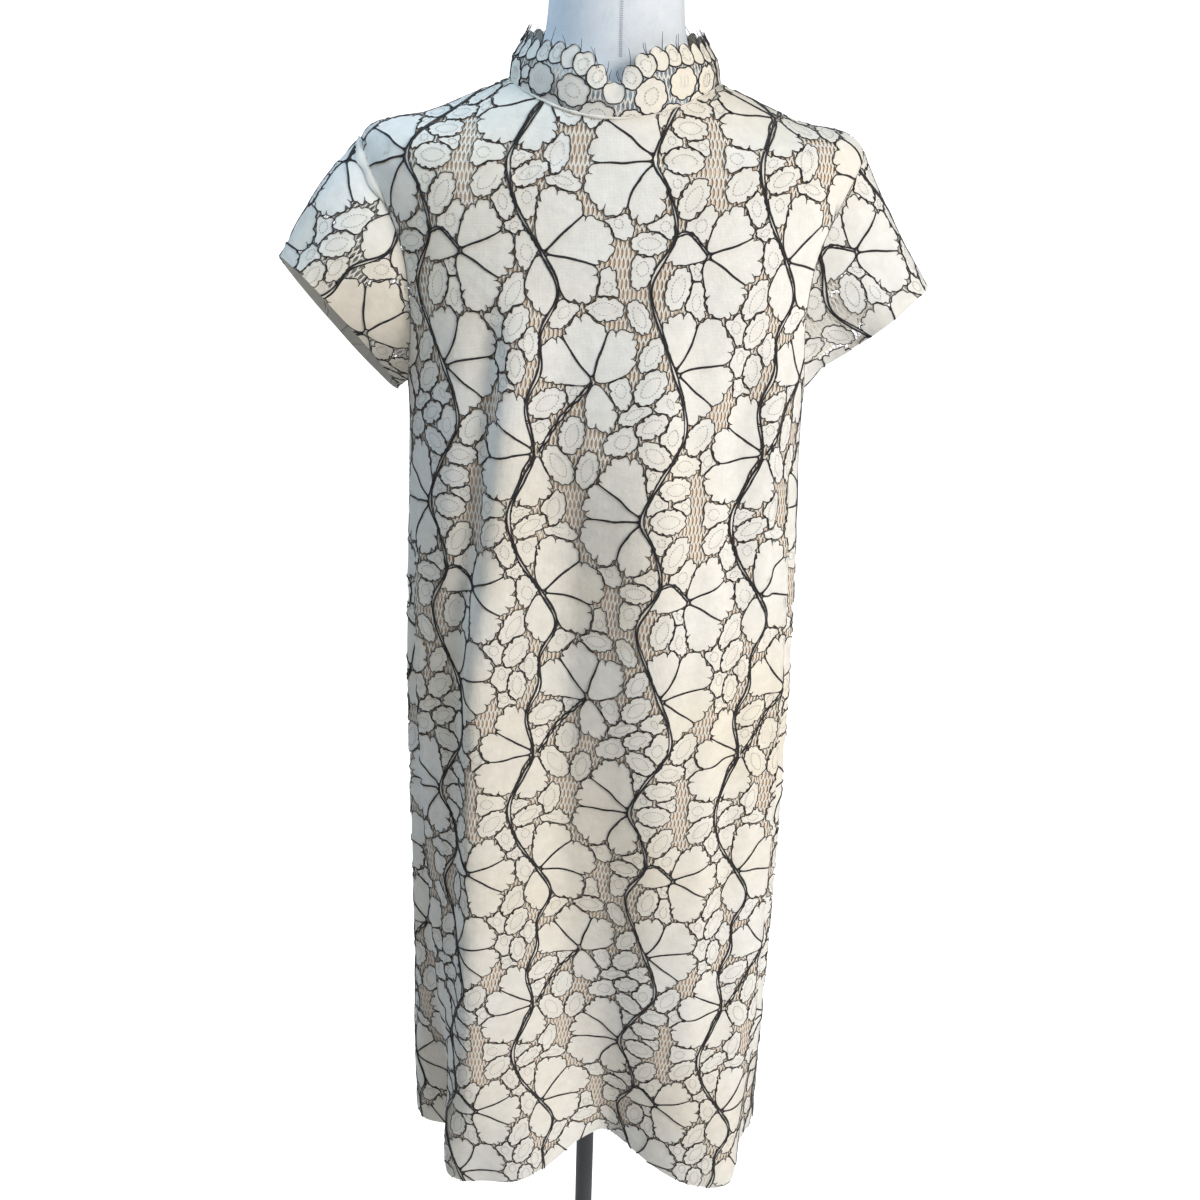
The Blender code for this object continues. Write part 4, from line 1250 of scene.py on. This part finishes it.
# Leaves under the petals, in passes: half width, then the share of free spots left bare.
LEAF_PASSES = ((0.0125, 0.15), (0.0100, 0.1), (0.0078, 0.2), (0.0060, 0.5))
LEAF_ROWS = np.arange(0.019, 0.050, 0.0019)     # below the petals' tips
LEAF_SPOTS = np.arange(-17.2, 17.3, 0.31)       # along the edge, in petals
LEAF_CLEAR = 0.80                       # leaves keep this share of their half width clear
LEAF_LEAN, LEAF_FLATNESS, LEAF_LOBES = 0.7, (0.68, 0.95), (7, 0.12)
LEAF_RING = (0.45, 0.40)                # against the leaf's half width and half height
RINGED_FROM, RINGED = 0.007, 0.6        # half width from which this share has stitches
ON_CUT = 0.004                          # spots this near to the flat cut's grid lie on it
COLLAR_CORD = 1.2                       # its cord against the body's
LASH_LENGTHS, LASH_LEAN, LASH_BOW = (0.005, 0.011), 0.45, 0.25
LASH_THICK, LASH_APART = 0.00032, 0.022         # metres, and radians round the neck
LASH_BUNCH, LASH_BUNCH_REACH = 9, 2     # petals from the centre front, where three stand
LASH_FRONT = 5                          # petals from it where one more stands
LASH_ROOT, LASH_OUT = -0.25, (0.10, 0.15)       # against its length
RISE_STEP = 0.05                        # place that gives the neckline's direction
BINDING_COLUMNS, BINDING_SIDES = 192, 10
BINDING_HIGH, BINDING_DEEP = (0.0003, 0.0008), (0.0003, 0.0006)     # all round; in front
BINDING_MIDDLE, BINDING_REACH = -24, 34 # degrees; where it shows most
BINDING_WAVERS = (0.20, 0.12)


def collar_tips(turn):
    """Height of the petals' tips, with the notch in front."""
    climb = np.sin(turn / 2) ** COLLAR_CLIMB
    notch = NOTCH_DEPTH * np.exp(-(np.degrees(turn) / NOTCH_SPREAD) ** NOTCH_CURVE)
    return COLLAR_FRONT_Z + (COLLAR_BACK_Z - COLLAR_FRONT_Z) * climb - notch


def collar_ring(angle, height):
    """A point of the top edge's ring."""
    depth = np.where(np.cos(angle) > 0, COLLAR_TOP_FRONT, COLLAR_TOP_BACK)
    return np.stack((COLLAR_TOP_WIDTH * np.sin(angle), -depth * np.cos(angle), height), axis=-1)


# Petals stand evenly along the top edge; whole numbers are their middles.
edge_turn = np.linspace(0, math.pi, 720)
edge_line = collar_ring(edge_turn, collar_tips(edge_turn))
edge_steps = np.linalg.norm(np.diff(edge_line, axis=0), axis=1)
edge_petal = np.append(0, edge_steps.cumsum()) / edge_steps.sum() * PETALS / 2


def facing(angle):
    """The level direction that a spot of the neck faces."""
    return np.stack((np.sin(angle), -np.cos(angle), np.zeros_like(angle)), axis=-1)


def neckline(angle):
    """Points of the neckline, and the directions in which the cloth rises to it."""
    seam = cloth(angle, NECKLINE)
    return seam, unit(seam - cloth(angle, NECKLINE - RISE_STEP))


def collar_points(angle, share):
    """Points of the collar's outer face, from its seam, 0, to its top edge, 1."""
    turn = np.abs(angle)
    petal = np.interp(turn, edge_turn, edge_petal)
    dip = COLLAR_SCALLOP * (1 - np.abs(np.cos(math.pi * petal)) ** PETAL_ROUNDNESS)
    top = collar_ring(angle, collar_tips(turn) - dip)
    seam, rising = neckline(angle)
    foot = seam + rising * SEAM_GAP
    share = np.broadcast_to(share, angle.shape)[..., None]
    return foot + (top - foot) * share + facing(angle) * COLLAR_SWELL * np.sin(math.pi * share)


collar_end = math.pi - SEAM_GAP / 2 / COLLAR_TOP_BACK
collar_face = collar_points(*np.meshgrid(
    np.linspace(-collar_end, collar_end, COLLAR_COLUMNS + 1), np.linspace(0, 1, COLLAR_ROWS + 1)))
collar_flat = flat_cut(collar_face, steps=(20, 10, 5))
collar_surface = collar_face, grid_outs(collar_face), collar_flat


def edge_spot(petal):
    """A spot of the flat cut's top edge, by petals from the centre front."""
    angle = np.sign(petal) * np.interp(abs(petal), edge_petal, edge_turn)
    column = (angle / collar_end + 1) / 2 * COLLAR_COLUMNS
    return at_way(column, np.arange(COLLAR_COLUMNS + 1), collar_flat[-1])


def on_collar(petal, below):
    """A spot below the petals' tips, square to the edge, and the edge's tilt there."""
    low, high = max(petal - 1, -PETALS / 2), min(petal + 1, PETALS / 2)
    along = edge_spot(high) - edge_spot(low)
    along /= np.linalg.norm(along)
    return edge_spot(petal) - left_of(along) * below, math.atan2(along[1], along[0])


def petal_outline(middle, tilt, half_width, half_height, lobes=0, depth=0):
    """A small round or oval petal, plain or with shallow lobes."""
    count = max(PETAL_POINTS, lobes * SCALLOP_POINTS)
    turn = np.linspace(0, 2 * math.pi, count, endpoint=False)
    lobe = 1 - depth * (1 - np.abs(np.sin(lobes * turn / 2)) ** LOBE_ROUND)
    points = np.stack((half_width * np.cos(turn), half_height * np.sin(turn)), axis=1)
    points *= lobe[:, None]
    spin = np.array(((math.cos(tilt), math.sin(tilt)), (-math.sin(tilt), math.cos(tilt))))
    return middle + points @ spin


def tuck_under(outline, taken):
    """Push an outline out of the petals that lie over it, so that they share an edge."""
    for middle, radius in taken:
        away = outline - middle
        length = np.maximum(np.linalg.norm(away, axis=1, keepdims=True), 1e-6)
        outline = np.where(length < radius, middle + away * radius / length, outline)
    return outline


collar_leaves, collar_rings, taken = [], [], []
for petal in sorted(range(-(PETALS // 2), PETALS // 2 + 1), key=abs):
    half = FRONT_PETAL if abs(petal) < FRONT_PETALS else SIDE_PETAL
    spot = petal - math.copysign(PETAL_CLOSER, petal) if abs(petal) == 1 else petal
    middle, tilt = on_collar(spot, half * PETAL_DOWN)
    outline = petal_outline(middle, tilt, half, half * PETAL_TALL, *PETAL_LOBES)
    collar_leaves.append(tuck_under(outline, taken))
    taken.append((middle, half))
    if petal % 3:
        collar_rings.append(petal_outline(middle, tilt, *PETAL_RING))
for half, skipped in LEAF_PASSES:
    for below in LEAF_ROWS:
        for petal in LEAF_SPOTS:
            middle, tilt = on_collar(petal, below)
            inside = np.linalg.norm(collar_flat - middle, axis=-1).min() < ON_CUT
            near = min(np.linalg.norm(middle - other) - radius for other, radius in taken)
            if not inside or near < half * LEAF_CLEAR or chance.uniform() < skipped:
                continue
            lean = tilt + chance.uniform(-LEAF_LEAN, LEAF_LEAN)
            flatness = chance.uniform(*LEAF_FLATNESS)
            outline = petal_outline(middle, lean, half, half * flatness, *LEAF_LOBES)
            collar_leaves.append(tuck_under(outline, taken))
            taken.append((middle, half * (1 + flatness) / 2))
            if half > RINGED_FROM and chance.uniform() < RINGED:
                collar_rings.append(petal_outline(
                    collar_leaves[-1].mean(axis=0), lean, half * LEAF_RING[0],
                    half * flatness * LEAF_RING[1]))
body = bmesh.new()
flat_leaves(body, collar_leaves)
low = collar_flat.reshape(-1, 2).min(axis=0)
cells = (collar_flat.reshape(-1, 2).max(axis=0) - low) / NET_CELL
honeycomb(body, int(cells[0]) + 3, int(cells[1]) + 3, lambda points: np.zeros(len(points), bool),
          low - NET_CELL)
collar_tile = finished_tile("collar tile", body)
collar_cord_tile = cord_tile("collar cord tile",
                             [(points, COLLAR_CORD, True) for points in collar_leaves])
collar_stitch_tile = stitch_tile("collar stitch tile", collar_rings)
collar, collar_cord, collar_cord_inside, collar_stitches = (
    lay(tile, "lace_collar", layer, collar_surface, ((0, 0),)) for tile, layer in (
        (collar_tile, ""), (collar_cord_tile, "_cord"), (collar_cord_tile, "_cord_inside"),
        (collar_stitch_tile, "_stitches")))


def neck_binding():
    """A folded ivory edge that peeps out of the collar's seam in front."""
    angle = np.linspace(-collar_end, collar_end, BINDING_COLUMNS + 1)[None]
    turn = np.linspace(0, 2 * math.pi, BINDING_SIDES + 1)[:, None]
    middle, rising = neckline(angle)
    out = cloth_out(angle, NECKLINE)
    front = np.exp(-((np.degrees(angle) - BINDING_MIDDLE) / BINDING_REACH) ** 4)
    waver = (1 + BINDING_WAVERS[0] * np.sin(angle * 31)
             + BINDING_WAVERS[1] * np.sin(angle * 53 + 1))
    high, deep = (least + more * front for least, more in (BINDING_HIGH, BINDING_DEEP))
    points = (middle + rising * (high * waver * np.sin(turn))[..., None]
              + out * (deep * np.cos(turn))[..., None])
    return new_piece("neck_binding", grid_body(points), FACING)


def thread_mesh(name, lines, thick, end=0.45):
    """Round threads along lines of points, thinning to a share of their thickness."""
    curve = bpy.data.curves.new(name, "CURVE")
    curve.dimensions = "3D"
    curve.bevel_depth = thick
    curve.bevel_resolution = 1
    curve.use_fill_caps = True
    for points in lines:
        add_line(curve, points, np.linspace(1, end, len(points)))
    mesh = swept_mesh(name, curve)
    mesh.shade_smooth()
    return mesh


def lash_lines():
    """Loose ends of cord that stand out of the dips between the petals."""
    lines = []
    for petal in np.arange(1 - PETALS / 2, PETALS // 2):
        angle = math.copysign(np.interp(abs(petal), edge_petal, edge_turn), petal)
        bunch = abs(abs(petal) - LASH_BUNCH) < LASH_BUNCH_REACH
        count = 3 if bunch else chance.integers(0, 2) + (abs(petal) < LASH_FRONT)
        for number in range(count):
            at = np.array([angle + (number - 1) * LASH_APART])
            root, lower = collar_points(at, 1.0)[0], collar_points(at, 0.9)[0]
            up = (root - lower) / np.linalg.norm(root - lower)
            side = np.array((math.cos(angle), math.sin(angle), 0))
            out = np.array((math.sin(angle), -math.cos(angle), 0))
            length = chance.uniform(*LASH_LENGTHS)
            lean, bow = (chance.uniform(-most, most) for most in (LASH_LEAN, LASH_BOW))
            share = np.linspace(LASH_ROOT, 1, 6)[:, None]
            lines.append(root + length * (up * share + side * (lean * share + bow * share ** 2)
                                          + out * (LASH_OUT[0] + LASH_OUT[1] * share ** 2)))
    return lines


binding = neck_binding()
lashes = new_piece("collar_lashes", thread_mesh("collar_lashes", lash_lines(), LASH_THICK),
                   BLACK_CORD)
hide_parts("collar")

# ---------------------------------------------------------------- zip slider and pull
# A concealed zip closes the collar and the upper back: two woven tapes between the lace and
# the lining, a nylon coil in the seam, and a nickel-plated slider and pull at its top.
NICKEL = grainy("nickel plate", (0.58, 0.56, 0.52), (0.74, 0.72, 0.68), 0.28, 1.0, 1400, 0.00004)
for node in ("zip_slider", "zip_pull"):
    dress_node(node, NICKEL)
ZIP_UNDER = 0.0017              # tapes and coil lie this far under the lace's face
ZIP_END = 0.955                 # height of its lower end
TAPE_NEAR, TAPE_FAR = 0.0012, 0.0110
COIL_HALF, COIL_STEP, COIL_WIRE = 0.0011, 0.0014, 0.00026
ZIP_ROWS, ZIP_COLLAR_ROWS = 60, 8
ZIP_COLLAR = (0.06, 0.93)       # shares of the collar's height between which it lies
ZIP_MIDDLE = 1e-5               # sideways; the coil's line is just left of the seam
TAPE = woven("ivory zip tape", (0.62, 0.56, 0.46), (0.76, 0.70, 0.60), 0.8, 700, 0.001, 0.0002)
COIL = woven("ivory nylon coil", (0.66, 0.61, 0.52), (0.78, 0.73, 0.64), 0.4, 900, 0.0, 0.0001)


def beside_zip(offsets):
    """Rows of spots at sideways offsets from the centre back seam, from its end to the top."""
    def around(radius):
        """The offsets as angles on a circle."""
        return np.sign(offsets) * math.pi - offsets / radius

    below = np.linspace(0, NECKLINE, 400)
    heights = cloth(np.full_like(below, math.pi), below)[:, 2]
    places = np.linspace(np.interp(ZIP_END, heights, below), NECKLINE, ZIP_ROWS)[:, None]
    radius = cloth(np.array(math.pi), places)[..., 1]
    body_rows = cloth(around(radius), places) - cloth_out(around(radius), places) * ZIP_UNDER
    angles = np.broadcast_to(around(COLLAR_TOP_BACK), (ZIP_COLLAR_ROWS, len(offsets)))
    shares = np.linspace(*ZIP_COLLAR, ZIP_COLLAR_ROWS)[:, None]
    collar_rows = collar_points(angles, np.broadcast_to(shares, angles.shape))
    return np.concatenate([body_rows, collar_rows - facing(angles) * ZIP_UNDER])


def make_zip():
    """Two tapes, and the coil as one line that swings from side to side."""
    tapes = []
    for name, side in (("left", 1), ("right", -1)):
        offsets = np.linspace(TAPE_NEAR, TAPE_FAR, 4)[::side] * side
        tapes.append(new_piece(f"zip_tape_{name}", grid_body(beside_zip(offsets)), TAPE))
    line = beside_zip(np.array((ZIP_MIDDLE,)))[:, 0]
    way = way_along(line)
    at = np.arange(0, way[-1], COIL_STEP / 2)
    swing = at_way(at, way, line)
    swing[:, 0] += np.where(np.arange(len(at)) % 2, COIL_HALF, -COIL_HALF)
    mesh = thread_mesh("zip_coil", [swing], COIL_WIRE, end=1)
    return tapes + [new_piece("zip_coil", mesh, COIL)]


for piece in make_zip():
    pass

# ---------------------------------------------------------------- floor, light and camera
# A plain white floor that curves up into a backdrop, soft light from the dress's left and
# above with a cool fill from its right, and a camera a little above the collar.
FLOOR_SIZE = 9.0
BACKDROP_AT, BACKDROP_HIGH, BACKDROP_CURVE, BACKDROP_STEPS = 3.2, 4.0, 1.2, 16
PAPER_GLOW = (0.05, 0.95)       # on other things, and towards the camera


def make_backdrop():
    """A wide sheet whose back edge is swept up in a quarter turn."""
    body = bmesh.new()
    bmesh.ops.create_grid(body, x_segments=1, y_segments=1, size=FLOOR_SIZE / 2, calc_uvs=False)
    bmesh.ops.translate(body, vec=(0, BACKDROP_AT - FLOOR_SIZE / 2, 0), verts=body.verts)
    edge = [side for side in body.edges if all(vert.co.y > BACKDROP_AT - 0.01
                                               for vert in side.verts)]
    ends = [vert for side in edge for vert in side.verts]
    made = bmesh.ops.spin(body, geom=edge + ends, axis=(1, 0, 0), angle=math.pi / 2,
                          cent=(0, BACKDROP_AT, BACKDROP_CURVE), steps=BACKDROP_STEPS)
    last = [part for part in made["geom_last"] if isinstance(part, bmesh.types.BMEdge)]
    up = bmesh.ops.extrude_edge_only(body, edges=last)["geom"]
    bmesh.ops.translate(body, vec=(0, 0, BACKDROP_HIGH),
                        verts=[part for part in up if isinstance(part, bmesh.types.BMVert)])
    bmesh.ops.recalc_face_normals(body, faces=body.faces)
    if body.faces[0].normal.z < 0:
        bmesh.ops.reverse_faces(body, faces=body.faces)
    mesh = as_mesh("backdrop", body)
    mesh.shade_smooth()
    paper, tree, shader = new_material("white paper", (0.90, 0.90, 0.90), 0.9)
    seen = add_node(tree, "LightPath").outputs["Is Camera Ray"]
    glow = add_node(tree, "MapRange", {"Value": seen, "To Min": PAPER_GLOW[0],
                                       "To Max": PAPER_GLOW[1]})
    feed(shader, {"Emission Color": (1, 1, 1, 1), "Emission Strength": glow.outputs["Result"]})
    mesh.materials.append(paper)
    backdrop = new_object("backdrop", mesh)


make_backdrop()
for name, place, target_z, size, power, colour in (
        ("key", (1.75, -1.45, 2.2), 1.0, 0.8, 47, (1.0, 0.982, 0.95)),
        ("low", (1.5, -1.7, 0.5), 0.7, 1.0, 10, (1.0, 0.98, 0.96)),
        ("top", (-0.65, -0.15, 2.35), 1.35, 0.7, 11, (0.55, 0.78, 1.0))):
    light = bpy.data.lights.new(name, "AREA")
    light.shape = "SQUARE"
    light.size = size
    light.energy = power
    light.color = colour
    lamp = new_object(name, light)
    lamp.location = place
    way = Vector((0, 0, target_z)) - Vector(place)
    lamp.rotation_euler = way.to_track_quat("-Z", "Y").to_euler()
world = bpy.data.worlds.new("studio")
world.use_nodes = True
feed(world.node_tree.nodes["Background"], {"Color": (0.95, 0.97, 1.0, 1), "Strength": 0.20})
bpy.context.scene.world = world
bpy.context.scene.view_settings.view_transform = "Standard"

CAMERA_PLACE = (0, -0.96, 1.42)
CAMERA_DOWN, CAMERA_ROLL = 22.4, 1.6    # degrees
CAMERA_LENS, CAMERA_SENSOR, CAMERA_NEAR = 36, 36, 0.05      # millimetres twice, and metres
optics = bpy.data.cameras.new("camera")
optics.sensor_width = CAMERA_SENSOR
optics.lens = CAMERA_LENS
optics.clip_start = CAMERA_NEAR
camera = new_object("camera", optics)
camera.matrix_world = (Matrix.Translation(CAMERA_PLACE)
                       @ Matrix.Rotation(math.radians(90 - CAMERA_DOWN), 4, "X")
                       @ Matrix.Rotation(math.radians(CAMERA_ROLL), 4, "Z"))
bpy.context.scene.camera = camera
